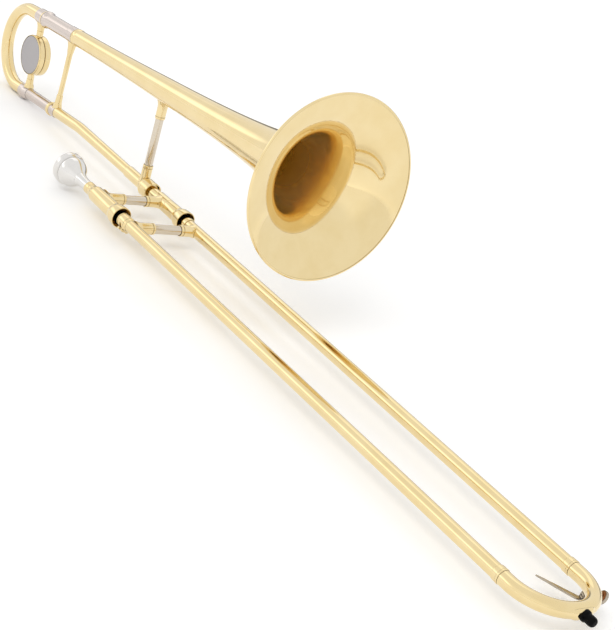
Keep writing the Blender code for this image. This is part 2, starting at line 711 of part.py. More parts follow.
def bow_ferrule(name, parent):
    end = bow_centre_x - BOW_LEAD
    start = end - BOW_FERRULE_LENGTH
    radius = over_outer_tube + BOW_FERRULE_WALL
    profile = [
        (start, over_outer_tube), (start, radius - 0.0002), (start + 0.0004, radius),
        (end - 0.0020, radius), (end - 0.0016, radius + BOW_FERRULE_BEAD),
        (end - 0.0004, radius + BOW_FERRULE_BEAD), (end, radius), (end, over_outer_tube)]
    return revolve(name, profile, BRASS, parent)


def build_bow():
    """Bow with swedged ends that sit inside the ferrules, and the drain hole."""
    bore = BOW_RADIUS - BOW_WALL
    neck = outer_tube_radius
    up = Vector((0, 0, 1))
    stations = []
    start = OUTER_TUBE_REACH + SEAT_GAP
    collar = bow_centre_x - BOW_LEAD + SEAT_GAP
    side = Vector((0, 1, 0))
    small = min(bore, neck - OUTER_TUBE_WALL)
    for x, radius, hole in ((start, neck, small), (collar, neck, small), (collar, BOW_RADIUS, bore)):
        stations.append((Vector((x, 0, 0)), side, up, radius, hole))
    steps = 12
    for i in range(steps + 1):
        stations.append(bow_station(math.radians(90) - math.pi * i / steps, BOW_RADIUS, bore))
    for x, radius, hole in ((collar, BOW_RADIUS, bore), (collar, neck, small), (start, neck, small)):
        stations.append((Vector((x, -SLIDE_SPACING, 0)), -side, up, radius, hole))
    bow = pipe("slide_bow", stations, BRASS, frame)
    drain = revolve("drain_cutter", rod_profile(BOW_RADIUS - 0.002, BOW_RADIUS + 0.002, DRAIN_RADIUS),
                    None, nipple_frame, sides=12, closed=False)
    cut(bow, drain)
    return bow


def build_guard():
    """Curved plate over the outside of the bow."""
    inner = BOW_RADIUS + SEAT_GAP
    outer = inner + GUARD_THICKNESS
    along = 4
    around = 6
    bm = bmesh.new()
    grid = {}
    for i in range(along + 1):
        turn = GUARD_HALF_SPREAD * (2 * i / along - 1)
        centre, ray, up, _, _ = bow_station(turn, 0, 0)
        edge = 1 - 0.25 * abs(2 * i / along - 1) ** 3
        for j in range(around + 1):
            wrap = GUARD_HALF_WRAP * edge * (2 * j / around - 1)
            out = ray * math.cos(wrap) + up * math.sin(wrap)
            grid[i, j, 0] = bm.verts.new(centre + out * inner)
            grid[i, j, 1] = bm.verts.new(centre + out * outer)
    for i in range(along):
        for j in range(around):
            for k in (0, 1):
                bm.faces.new((grid[i, j, k], grid[i + 1, j, k], grid[i + 1, j + 1, k], grid[i, j + 1, k]))
    for i in range(along):
        for j in (0, around):
            bm.faces.new((grid[i, j, 0], grid[i + 1, j, 0], grid[i + 1, j, 1], grid[i, j, 1]))
    for j in range(around):
        for i in (0, along):
            bm.faces.new((grid[i, j, 0], grid[i, j + 1, 0], grid[i, j + 1, 1], grid[i, j, 1]))
    return finish("bow_guard_plate", bm, BRASS, frame)


def build_bumper():
    """Rubber bumper on the guard plate, with a flat tip."""
    skin = BOW_RADIUS + SEAT_GAP + GUARD_THICKNESS
    apex = bow_centre_x + bow_arc_radius + skin
    tip = apex + BUMPER_LENGTH
    base = apex - 0.0030
    radius = BUMPER_RADIUS
    profile = [
        (base, 0.0), (base, BUMPER_BASE_RADIUS), (apex + BUMPER_BASE_HEIGHT - 0.0003, BUMPER_BASE_RADIUS),
        (apex + BUMPER_BASE_HEIGHT, BUMPER_BASE_RADIUS - 0.0004),
        (apex + BUMPER_BASE_HEIGHT + 0.0004, radius), (tip - radius * 0.62, radius),
        (tip - radius * 0.30, radius * 0.90), (tip - radius * 0.09, radius * 0.72),
        (tip, BUMPER_TIP_RADIUS), (tip, 0.0)]
    bumper = revolve("bumper", profile, RUBBER, frame, (0, -bow_arc_radius, 0), closed=False, sides=16)
    nub = revolve("bumper_nub", rod_profile(0.001, BUMPER_NUB_REACH, BUMPER_NUB_RADIUS, EDGE_CHAMFER),
                  None, frame, (apex + BUMPER_NUB_RADIUS * 0.2, -bow_arc_radius, 0), TO_MOUTHPIECE_SIDE,
                  sides=8, closed=False)
    join(bumper, nub)
    cut(bumper, bow_cutter("bumper_seat", skin + SEAT_GAP, 0, GUARD_HALF_SPREAD * 1.8, 12))
    return bumper


def build_nipple():
    """Short nipple soldered over the drain hole."""
    top = BOW_RADIUS + NIPPLE_HEIGHT
    profile = [
        (BOW_RADIUS - 0.0008, DRAIN_RADIUS), (BOW_RADIUS - 0.0008, NIPPLE_FOOT_RADIUS),
        (BOW_RADIUS + 0.0007, NIPPLE_FOOT_RADIUS), (BOW_RADIUS + 0.0010, NIPPLE_RADIUS),
        (top, NIPPLE_RADIUS), (top, DRAIN_RADIUS)]
    nipple = revolve("water_key_nipple", profile, NICKEL, nipple_frame, sides=TUBE_SIDES)
    cut(nipple, bow_cutter("nipple_seat", BOW_RADIUS + SEAT_GAP, KEY_BOW_ANGLE, math.radians(14)))
    return nipple


def build_key_saddle():
    """Foot under the bow with two ears that carry the hinge pin."""
    ear_end = KEY_EAR_INNER + KEY_EAR_THICKNESS
    top = KEY_HINGE_DROP - BOW_RADIUS + 0.0014
    low = KEY_BARREL_RADIUS + SEAT_GAP
    saddle = box("water_key_saddle", (-ear_end, -KEY_SADDLE_BACK, low),
                 (ear_end, KEY_SADDLE_FRONT, top), key_frame, mat=NICKEL)
    pin_hole = revolve("key_pin_hole", rod_profile(-ear_end - 0.002, ear_end + 0.002,
                                                   KEY_PIN_RADIUS + SEAT_GAP),
                       None, key_frame, sides=16, closed=False)
    for side, mark in ((-1, "left"), (1, "right")):
        start = min(side * KEY_EAR_INNER, side * ear_end)
        end = max(side * KEY_EAR_INNER, side * ear_end)
        disc = revolve("key_ear_disc_" + mark, rod_profile(start, end, KEY_EAR_RADIUS), None, key_frame,
                       sides=20, closed=False)
        web = box("key_ear_web_" + mark, (start, -0.0016, 0.0), (end, KEY_EAR_RADIUS, low + 0.0004),
                  key_frame)
        join(saddle, web)
        join(saddle, disc)
    cut(saddle, pin_hole)
    cut(saddle, bow_cutter("saddle_seat", BOW_RADIUS + SEAT_GAP, KEY_BOW_ANGLE, math.radians(20)))
    return saddle


def build_key_pin():
    end = KEY_EAR_INNER + KEY_EAR_THICKNESS + 0.0004
    profile = rod_profile(-end, end, KEY_PIN_RADIUS)
    return revolve("water_key_pin", profile, NICKEL, key_frame, sides=16, closed=False)


def strap(name, path, thickness, tip_thickness, parent):
    """Flat bar through (point, width) stations, closed at both ends, from thickness to tip_thickness."""
    bm = bmesh.new()
    rings = []
    for i, (point, width) in enumerate(path):
        before = Vector(path[max(i - 1, 0)][0])
        after = Vector(path[min(i + 1, len(path) - 1)][0])
        tangent = (after - before).normalized()
        across = tangent.cross(Vector((0, 0, 1))).normalized()
        rise = across.cross(tangent)
        centre = Vector(point)
        half = (thickness + (tip_thickness - thickness) * i / (len(path) - 1)) / 2
        ring = []
        for a, b in ((-1, -0.7), (-0.75, -1), (0.75, -1), (1, -0.7),
                     (1, 0.7), (0.75, 1), (-0.75, 1), (-1, 0.7)):
            ring.append(bm.verts.new(centre + across * (a * width / 2) + rise * (b * half)))
        rings.append(ring)
    sides = len(rings[0])
    for ring_a, ring_b in zip(rings[:-1], rings[1:]):
        for i in range(sides):
            j = (i + 1) % sides
            bm.faces.new((ring_a[i], ring_a[j], ring_b[j], ring_b[i]))
    bm.faces.new(rings[0])
    bm.faces.new(rings[-1])
    return finish(name, bm, None, parent)


def smooth_path(stations, per_span=3):
    """Catmull-Rom points through (point, width) stations."""
    points = [(Vector(p), w) for p, w in stations]
    padded = [points[0]] + points + [points[-1]]
    path = []
    for k in range(1, len(padded) - 2):
        (p0, w0), (p1, w1), (p2, w2), (p3, w3) = padded[k - 1:k + 3]
        for n in range(per_span):
            t = n / per_span
            point = 0.5 * (2 * p1 + (p2 - p0) * t + (2 * p0 - 5 * p1 + 4 * p2 - p3) * t * t
                           + (3 * p1 - p0 - 3 * p2 + p3) * t * t * t)
            path.append((point, w1 + (w2 - w1) * t))
    path.append(points[-1])
    return path


def build_key_lever():
    """Lever: hinge barrel, finger arm into the bow's opening, arm under the tube, cup."""
    barrel_part = revolve("water_key_lever",
                          rod_profile(KEY_BARREL_LEFT, KEY_BARREL_RIGHT, KEY_BARREL_RADIUS),
                          NICKEL, key_frame, sides=20, closed=False)
    middle = (KEY_BARREL_LEFT + KEY_BARREL_RIGHT) / 2
    finger = strap("key_finger", smooth_path([
        ((middle, -0.0012, -0.0004), KEY_FINGER_WIDTH * 0.64),
        ((middle - 0.0003, -0.0036, -0.0004), KEY_FINGER_WIDTH * 0.80),
        ((middle - 0.0014, -0.0070, -0.0003), KEY_FINGER_WIDTH),
        ((middle - 0.0076, -0.0195, 0.0003), KEY_FINGER_WIDTH * 0.82),
        ((middle - 0.0121, -0.0290, 0.0010), KEY_FINGER_WIDTH * 0.58),
        ((middle - 0.0164, -0.0383, 0.0017), KEY_FINGER_TIP_WIDTH)]),
                   KEY_FINGER_THICKNESS, KEY_FINGER_TIP_THICKNESS, key_frame)
    back = BOW_RADIUS + NIPPLE_HEIGHT + SEAT_GAP + KEY_CORK_THICKNESS + SEAT_GAP
    rim = BOW_RADIUS + NIPPLE_HEIGHT + SEAT_GAP + KEY_CUP_RIM_SETBACK
    cup_bore = KEY_CORK_RADIUS + SEAT_GAP
    cup_radius = cup_bore + KEY_CUP_WALL
    tilt = KEY_NIPPLE_TILT
    along_axis = Vector((0, math.cos(tilt), -math.sin(tilt)))
    across_axis = Vector((0, -math.sin(tilt), -math.cos(tilt)))
    tube_centre = Vector((0, KEY_HINGE_INSET, KEY_HINGE_DROP))
    cup_foot = tube_centre + along_axis * (back + KEY_CUP_BACK * 0.4) + across_axis * (cup_radius - 0.0009)
    half_gap = tube_centre.z - BOW_RADIUS - cup_foot.z
    under = Vector((middle * 0.5, KEY_HINGE_INSET + 0.0045, -half_gap * 0.32))
    arm = strap("key_cup_arm", smooth_path([
        ((middle, 0.0008, -0.0006), KEY_CUP_ARM_WIDTH), (under, KEY_CUP_ARM_WIDTH * 0.92),
        (cup_foot, KEY_CUP_ARM_WIDTH * 0.85)]),
                KEY_CUP_ARM_THICKNESS, KEY_CUP_ARM_THICKNESS, key_frame)
    cup = revolve("key_cup", [
        (back, 0.0), (back, cup_bore), (rim, cup_bore), (rim, cup_radius), (back + 0.0003, cup_radius),
        (back + KEY_CUP_BACK, cup_radius - 0.0008), (back + KEY_CUP_BACK, 0.0)],
                  None, cup_frame, sides=20, closed=False)
    pin_hole = revolve("lever_pin_hole", rod_profile(KEY_BARREL_LEFT - 0.002, KEY_BARREL_RIGHT + 0.002,
                                                     KEY_PIN_RADIUS + SEAT_GAP),
                       None, key_frame, sides=16, closed=False)
    join(barrel_part, finger)
    join(barrel_part, arm)
    join(barrel_part, cup)
    cut(barrel_part, pin_hole)
    return barrel_part


def build_key_cork():
    start = BOW_RADIUS + NIPPLE_HEIGHT + SEAT_GAP
    profile = rod_profile(start, start + KEY_CORK_THICKNESS, KEY_CORK_RADIUS, 0.0003)
    return revolve("water_key_cork", profile, CORK, cup_frame, sides=20, closed=False)


def build_key_spring():
    """Torsion spring round the pin: one leg bears on the finger arm, the other on the bow's foot."""
    start = KEY_BARREL_RIGHT + SEAT_GAP + SPRING_WIRE_RADIUS
    steps = 9
    points = []
    reach = SPRING_COIL_RADIUS
    points.append(Vector((start, -0.0062, -0.0000)))
    points.append(Vector((start, -0.0030, reach * 0.55)))
    total = SPRING_TURNS * steps
    for i in range(total + 1):
        turn = math.radians(100) - 2 * math.pi * i / steps
        x = start + SPRING_LENGTH * i / total
        points.append(Vector((x, reach * math.cos(turn), reach * math.sin(turn))))
    last = start + SPRING_LENGTH
    points.append(Vector((last, 0.0024, reach * 0.98)))
    points.append(Vector((last, 0.0062, reach * 1.02)))
    least = min((a - b).length for i, a in enumerate(points) for j, b in enumerate(points)
                if abs(i - j) >= steps - 1)
    print("water key spring: least gap between turns %.2f mm" % ((least - 2 * SPRING_WIRE_RADIUS) * 1000))
    curve = bpy.data.curves.new("water_key_spring", "CURVE")
    curve.dimensions = "3D"
    curve.bevel_depth = SPRING_WIRE_RADIUS
    curve.bevel_resolution = 1
    curve.use_fill_caps = True
    spline = curve.splines.new("POLY")
    spline.points.add(len(points) - 1)
    for spot, point in zip(spline.points, points):
        spot.co = (point.x, point.y, point.z, 1.0)
    curve.materials.append(STEEL)
    obj = bpy.data.objects.new("water_key_spring", curve)
    obj.parent = key_frame
    bpy.context.collection.objects.link(obj)
    return obj


def build_lock_ring():
    """Turning ring with a lug; the slot in the lug takes the hook on the barrel."""
    ring = revolve("slide_lock_ring", tube_profile(LOCK_RING_START, LOCK_RING_END, over_outer_tube,
                                                   lock_ring_radius, EDGE_CHAMFER * 0.75),
                   BRASS, mouthpiece_side, sides=TURNED_SIDES)
    half = LOCK_LUG_WIDTH / 2
    lug = box("lock_lug", (LOCK_RING_START + LOCK_LUG_MARGIN, over_outer_tube + LOCK_RING_WALL * 0.4, -half),
              (LOCK_RING_END - LOCK_LUG_MARGIN * 0.4, lock_ring_radius + LOCK_LUG_HEIGHT, half),
              mouthpiece_side, (LOCK_LUG_ANGLE, 0, 0), bevel=EDGE_CHAMFER)
    notch = box("lock_notch", (LOCK_SLOT_START, lock_ring_radius + 0.0002, -half - 0.001),
                (LOCK_SLOT_START + LOCK_SLOT_WIDTH, lock_ring_radius + LOCK_LUG_HEIGHT + 0.001, half + 0.001),
                mouthpiece_side, (LOCK_LUG_ANGLE, 0, 0))
    slot_half = LOCK_SLOT_SPAN / 2
    slot = box("lock_slot", (LOCK_SLOT_START, over_outer_tube - 0.0011, -slot_half),
               (LOCK_SLOT_START + LOCK_SLOT_WIDTH, lock_ring_radius + 0.001, slot_half),
               mouthpiece_side, (LOCK_LUG_ANGLE + LOCK_SLOT_TURN, 0, 0))
    join(ring, lug)
    cut(ring, notch)
    cut(ring, slot)
    return ring


def build_outer_slide():
    outer_tube("outer_slide_tube_upper", mouthpiece_side)
    outer_tube("outer_slide_tube_lower", frame)
    for name, reach, parent in (("tube_sleeve_upper", UPPER_SLEEVE_REACH, mouthpiece_side),
                                ("tube_sleeve_lower", LOWER_SLEEVE_REACH, frame)):
        revolve(name, tube_profile(-SLEEVE_TAIL, reach, over_outer_tube, sleeve_radius, 0.0002),
                BRASS, parent)
    upper = socket("outer_brace_socket_upper", outer_tube_radius, OUTER_UPPER_SOCKET_LENGTH, BRASS,
                   mouthpiece_side, (OUTER_BRACE_X, 0, 0), TO_BELL_SIDE)
    stop_start = LOCK_RING_END + SEAT_GAP
    stop = revolve("lock_stop", [
        (stop_start, 0.0), (stop_start, lock_ring_radius - 0.0002), (stop_start + 0.0004, lock_ring_radius),
        (stop_start + LOCK_STOP_LENGTH * 0.4, lock_ring_radius),
        (stop_start + LOCK_STOP_LENGTH, over_outer_tube + 0.0002), (stop_start + LOCK_STOP_LENGTH, 0.0)],
                   None, mouthpiece_side, closed=False)
    ring_space = box("lock_ring_space", (LOCK_RING_START, -0.013, -0.013), (stop_start, 0.013, 0.013),
                     mouthpiece_side)
    join(upper, stop)
    cut(upper, ring_space)
    cut(upper, tube_cover("outer_upper_cover", outer_tube_radius, OUTER_BRACE_X, mouthpiece_side, 0.016))
    socket("outer_brace_socket_lower", outer_tube_radius, OUTER_LOWER_SOCKET_LENGTH, BRASS,
           frame, (OUTER_BRACE_X, 0, 0), TO_MOUTHPIECE_SIDE,
           tube_cover("outer_lower_cover", outer_tube_radius, OUTER_BRACE_X, frame))
    start = outer_tube_radius + OUTER_UPPER_SOCKET_LENGTH
    end = SLIDE_SPACING - outer_tube_radius - OUTER_LOWER_SOCKET_LENGTH
    brace_tube("outer_brace_tube", end - start, NICKEL, mouthpiece_side,
               (OUTER_BRACE_X, start, 0), TO_BELL_SIDE)
    bow_ferrule("bow_ferrule_upper", mouthpiece_side)
    bow_ferrule("bow_ferrule_lower", frame)
    build_bow()
    build_guard()
    build_bumper()
    build_nipple()
    build_key_saddle()
    build_key_pin()
    build_key_lever()
    build_key_cork()
    build_key_spring()
    build_lock_ring()


# Bell section

def flare_radius(station):
    return BELL_RIM_RADIUS * (FLARE_LENGTH_SCALE
                              / (FLARE_LENGTH_SCALE + BELL_RIM_STATION - station)) ** FLARE_POWER


def bell_radius(station):
    if station >= FLARE_START:
        return flare_radius(station)
    length = FLARE_START - BELL_TAIL_STATION
    part = (station - BELL_TAIL_STATION) / length
    rise = flare_radius(FLARE_START) - BELL_TAIL_RADIUS
    linear_rise = BELL_TAIL_TAPER * length
    return BELL_TAIL_RADIUS + linear_rise * part + (rise - linear_rise) * part * part


def flare_station(radius):
    scale = (BELL_RIM_RADIUS / radius) ** (1 / FLARE_POWER)
    return BELL_RIM_STATION - FLARE_LENGTH_SCALE * (scale - 1)


def bell_lines():
    """Outside and inside of the bell as (station, radius), tail to rim, and the roll's centre."""
    roll_bore = RIM_WIRE_RADIUS + SEAT_GAP
    roll_radius = roll_bore + BELL_WALL
    edge_radius = BELL_RIM_RADIUS - roll_radius - BELL_WALL * 0.7
    outside = []
    for i in range(BELL_STEM_STEPS):
        station = BELL_TAIL_STATION + (FLARE_START - BELL_TAIL_STATION) * i / BELL_STEM_STEPS
        outside.append(Vector((station, bell_radius(station))))
    first = flare_radius(FLARE_START)
    for i in range(BELL_FLARE_STEPS + 1):
        part = i / BELL_FLARE_STEPS
        radius = first * (edge_radius / first) ** (part ** 0.9)
        outside.append(Vector((flare_station(radius), radius)))
    inside = []
    normals = []
    for i, spot in enumerate(outside):
        before = outside[max(i - 1, 0)]
        after = outside[min(i + 1, len(outside) - 1)]
        along = (after - before).normalized()
        normals.append(Vector((along.y, -along.x)))
        inside.append(spot + normals[-1] * BELL_WALL)
    # At the tail the inside ends in the same plane as the outside.
    inside[0].x = BELL_TAIL_STATION
    centre = outside[-1] - normals[-1] * roll_bore
    return outside, inside, normals[-1], centre, roll_bore, roll_radius


def build_bell():
    """Bell with its rim rolled back over a wire."""
    outside, inside, front, centre, roll_bore, roll_radius = bell_lines()
    steps = 7
    side = Vector((-front.y, front.x))
    outer_arc = []
    inner_arc = []
    for i in range(1, steps + 1):
        turn = RIM_ROLL_TURN * i / steps
        ray = front * math.cos(turn) + side * math.sin(turn)
        outer_arc.append(centre + ray * roll_radius)
        inner_arc.append(centre + ray * roll_bore)
    loop = inside + outer_arc + inner_arc[::-1] + outside[::-1]
    profile = [(spot.x, spot.y) for spot in loop]
    return revolve("bell", profile, BRASS, bell_axis, sides=BELL_SIDES)


def build_rim_wire():
    _, _, _, centre, _, _ = bell_lines()
    sides = 6
    profile = []
    for i in range(sides):
        turn = 2 * math.pi * i / sides
        profile.append((centre.x + RIM_WIRE_RADIUS * math.cos(turn),
                        centre.y + RIM_WIRE_RADIUS * math.sin(turn)))
    return revolve("bell_rim_wire", profile, STEEL, bell_axis, sides=BELL_SIDES)


def upper_leg_pieces():
    """Outer leg with its rounded end, the step ferrule and the bell's tail ferrule."""
    radius = upper_leg_radius
    bore = UPPER_INNER_LEG_RADIUS + RUNNING_GAP
    bead = UPPER_LEG_BEAD_RADIUS
    start = UPPER_LEG_START
    end = BELL_TAIL_STATION - SEAT_GAP
    leg = [
        (start, bore), (start, bead - 0.0009), (start + 0.0012, bead - 0.0002), (start + 0.0024, bead),
        (start + UPPER_LEG_BEAD_LENGTH, bead - 0.0003),
        (start + UPPER_LEG_BEAD_LENGTH + 0.0030, radius + 0.0003),
        (start + UPPER_LEG_BEAD_LENGTH + 0.0060, radius), (end, radius), (end, bore)]
    revolve("outer_leg_upper", leg, NICKEL, bell_axis)
    over_leg = radius + SEAT_GAP
    step = tube_profile(STEP_FERRULE_START, TAIL_FERRULE_START - SEAT_GAP, over_leg,
                        over_leg + STEP_FERRULE_WALL, 0.0002)
    revolve("leg_step_ferrule", step, NICKEL, bell_axis)
    tail_bore = max(over_leg, bell_radius(TAIL_FERRULE_END) + SEAT_GAP)
    tail_radius = tail_bore + TAIL_FERRULE_WALL
    tail = [
        (TAIL_FERRULE_START, tail_bore), (TAIL_FERRULE_START, tail_radius - 0.0002),
        (TAIL_FERRULE_START + 0.0004, tail_radius), (TAIL_FERRULE_END - 0.0030, tail_radius),
        (TAIL_FERRULE_END, tail_bore + 0.0002), (TAIL_FERRULE_END, tail_bore)]
    revolve("bell_tail_ferrule", tail, BRASS, bell_axis)


def lower_leg_pieces():
    bore = LOWER_INNER_LEG_RADIUS + RUNNING_GAP
    radius = lower_leg_radius
    revolve("outer_leg_lower", tube_profile(LOWER_LEG_START, LOWER_LEG_END, bore, radius, 0.0002),
            NICKEL, leg_axis)
    over = max(radius, NECKPIPE_REAR_RADIUS) + SEAT_GAP
    bead = NECK_BEAD_RADIUS
    ring = [
        (NECK_BEAD_START, over), (NECK_BEAD_START, bead - 0.0010), (NECK_BEAD_START + 0.0010, bead - 0.0002),
        (NECK_BEAD_START + 0.0018, bead), (NECK_FERRULE_START - 0.0020, bead - 0.0002),
        (NECK_FERRULE_START - SEAT_GAP, bead - 0.0011), (NECK_FERRULE_START - SEAT_GAP, over)]
    revolve("neck_ferrule_bead", ring, BRASS, leg_axis)
    ferrule_bore = NECKPIPE_REAR_RADIUS + SEAT_GAP
    ferrule = tube_profile(NECK_FERRULE_START, NECK_FERRULE_END, ferrule_bore,
                           ferrule_bore + NECK_FERRULE_WALL, 0.0002)
    revolve("neck_ferrule", ferrule, NICKEL, leg_axis)


def build_neckpipe():
    """Neckpipe: straight in the slide receiver, a slight bend, straight into the leg."""
    cross_station = NECK_BEND_STATION
    cross_x = cross_station * math.cos(BELL_TILT) + leg_spacing * math.sin(BELL_TILT)
    tangent = NECKPIPE_BEND_RADIUS * math.tan(BELL_TILT / 2)
    rear_station = LOWER_LEG_END + SEAT_GAP
    leg_part = cross_station - tangent - rear_station
    front_part = neckpipe_front - (cross_x + tangent)
    arc = NECKPIPE_BEND_RADIUS * BELL_TILT
    total = front_part + arc + leg_part
    normal = Vector((0, 1, 0))
    straight = Vector((1, 0, 0))
    slant = Vector((math.cos(BELL_TILT), 0, math.sin(BELL_TILT)))

    def radius_at(travel):
        growth = NECKPIPE_REAR_RADIUS - NECKPIPE_FRONT_RADIUS
        return NECKPIPE_FRONT_RADIUS + growth * travel / (total - 0.02)

    stations = []

    def add(point, direction, travel):
        radius = min(radius_at(travel), NECKPIPE_REAR_RADIUS)
        side = normal.cross(direction)
        stations.append((point, side, normal, radius, radius - NECKPIPE_WALL))

    for part in (0.0, 0.35, 0.7):
        add(Vector((neckpipe_front - front_part * part, 0, 0)), straight, front_part * part)
    bend_start = Vector((cross_x + tangent, 0, 0))
    # The leg runs down towards the crook, so the bend's centre is below the pipe.
    bend_centre = bend_start - Vector((0, 0, NECKPIPE_BEND_RADIUS))
    steps = 4
    for i in range(steps + 1):
        turn = BELL_TILT * i / steps
        point = bend_centre + Vector((-math.sin(turn), 0, math.cos(turn))) * NECKPIPE_BEND_RADIUS
        add(point, Vector((math.cos(turn), 0, math.sin(turn))), front_part + arc * i / steps)
    bend_end = bend_centre + Vector((-math.sin(BELL_TILT), 0, math.cos(BELL_TILT))) * NECKPIPE_BEND_RADIUS
    taper_part = (leg_part - 0.02) / leg_part
    for part in (0.5 * taper_part, taper_part, 1.0):
        add(bend_end - slant * (leg_part * part), slant, front_part + arc + leg_part * part)
    return pipe("neckpipe", stations, BRASS, bell_lean)


def slide_receiver_outline(extra):
    """Outside of the slide receiver as (x, radius), grown by extra."""
    radius = SLIDE_RECEIVER_RADIUS
    middle_radius = (radius * 1.15 + RECEIVER_FLARE_RADIUS * 0.85) / 2
    return [
        (slide_receiver_start, radius - 0.0003 + extra), (slide_receiver_start + 0.0015, radius + extra),
        (flare_start, radius + extra), (flare_start + RECEIVER_FLARE_LENGTH * 0.5, middle_radius + extra),
        (flare_end - 0.0012, RECEIVER_FLARE_RADIUS + extra),
        (flare_end, RECEIVER_FLARE_RADIUS - 0.0003 + extra)]


def build_slide_receiver():
    """Receiver soldered to the neckpipe, with the ring that keeps the lock nut on."""
    ring_start = slide_receiver_end - RETAINING_RING_LENGTH
    ring = SLIDE_RECEIVER_RADIUS + RETAINING_RING_STEP
    front_bore = TENON_TAPER_BASE_RADIUS + SEAT_GAP
    rear_bore = TENON_TAPER_TIP_RADIUS + SEAT_GAP
    pipe_bore = NECKPIPE_FRONT_RADIUS + SEAT_GAP + 0.0001
    profile = slide_receiver_outline(0.0) + [
        (flare_end, SLIDE_RECEIVER_RADIUS), (ring_start, SLIDE_RECEIVER_RADIUS), (ring_start, ring),
        (slide_receiver_end - 0.0003, ring), (slide_receiver_end, ring - 0.0003),
        (slide_receiver_end, front_bore), (neckpipe_front + SEAT_GAP, rear_bore),
        (neckpipe_front + SEAT_GAP, pipe_bore), (slide_receiver_start, pipe_bore)]
    return revolve("slide_receiver", profile, BRASS, bell_lean)


def build_lock_nut():
    ring = SLIDE_RECEIVER_RADIUS + RETAINING_RING_STEP
    bore = max(THREAD_COLLAR_RADIUS, ring) + LOCK_NUT_BORE_GAP
    radius = LOCK_NUT_RADIUS
    lip = SLIDE_RECEIVER_RADIUS + SEAT_GAP
    profile = [
        (nut_back, lip), (nut_back, radius - 0.0006), (nut_back + 0.0006, radius),
        (nut_back + 0.0060, radius), (nut_mouth - 0.0060, radius), (nut_mouth - 0.0007, radius - 0.0001),
        (nut_mouth, radius - 0.0007), (nut_mouth, bore), (nut_back + LOCK_NUT_LIP, bore),
        (nut_back + LOCK_NUT_LIP, lip)]
    return revolve("lock_nut", profile, BRASS, bell_lean, sides=TURNED_SIDES)


def build_front_brace():
    """Nickel tube between two flared sockets, from the slide receiver up to the bell."""
    foot = Vector((FRONT_BRACE_X, 0, 0))
    reach = FRONT_BRACE_STATION
    head = Vector((reach * math.cos(BELL_TILT), 0, BELL_AXIS_HEIGHT + reach * math.sin(BELL_TILT)))
    line = head - foot
    up = (0, -math.atan2(line.z, line.x), 0)
    down = (0, math.pi - math.atan2(line.z, line.x), 0)
    cover = revolve("front_lower_cover", [(slide_receiver_start - 0.002, 0.0)]
                    + [(x, r) for x, r in slide_receiver_outline(SEAT_GAP)] + [(flare_end, 0.0)],
                    None, bell_lean, closed=False, sides=24)
    nut_space = hide_tool(revolve("nut_space", rod_profile(flare_end, nut_mouth, LOCK_NUT_RADIUS + 0.004),
                                  None, bell_lean, closed=False, sides=24))
    lower = socket("front_brace_socket_lower", SLIDE_RECEIVER_RADIUS, FRONT_LOWER_SOCKET_LENGTH, BRASS,
                   bell_lean, foot, up, cover, spread=0.0004, brace_radius=FRONT_BRACE_TUBE_RADIUS)
    cut(lower, nut_space)
    bell_r = bell_radius(FRONT_BRACE_STATION)
    points = [(reach - 0.03 + 0.01 * i) for i in range(7)]
    outline = [(points[0], 0.0)] + [(s, bell_radius(s) + SEAT_GAP) for s in points] + [(points[-1], 0.0)]
    bell_cover = revolve("front_upper_cover", outline, None, bell_axis, closed=False, sides=BELL_SIDES * 2)
    # The socket's flare is set by its own width, because the bell is much wider than the socket.
    radius = front_socket_radius
    obj = revolve("front_brace_socket_upper", [
        (bell_r - 0.0020, 0.0), (bell_r - 0.0020, radius + 0.0026), (bell_r + 0.0008, radius + 0.0012),
        (bell_r + 0.0030, radius + 0.0005), (bell_r + 0.0070, radius),
        (bell_r + FRONT_UPPER_SOCKET_LENGTH - EDGE_CHAMFER, radius),
        (bell_r + FRONT_UPPER_SOCKET_LENGTH, radius - EDGE_CHAMFER),
        (bell_r + FRONT_UPPER_SOCKET_LENGTH, 0.0)],
                  BRASS, bell_lean, head, down, closed=False)
    bore = revolve("front_upper_bore", rod_profile(bell_r + SOCKET_FLOOR + 0.001,
                                                   bell_r + FRONT_UPPER_SOCKET_LENGTH + 0.002,
                                                   FRONT_BRACE_TUBE_RADIUS + SEAT_GAP),
                   None, bell_lean, head, down, closed=False)
    cut(obj, bell_cover)
    cut(obj, bore)
    start = SLIDE_RECEIVER_RADIUS + FRONT_LOWER_SOCKET_LENGTH
    end = line.length - bell_r - FRONT_UPPER_SOCKET_LENGTH
    direction = line.normalized()
    brace_tube("front_brace_tube", end - start, NICKEL, bell_lean, foot + direction * start, up,
               FRONT_BRACE_TUBE_RADIUS)


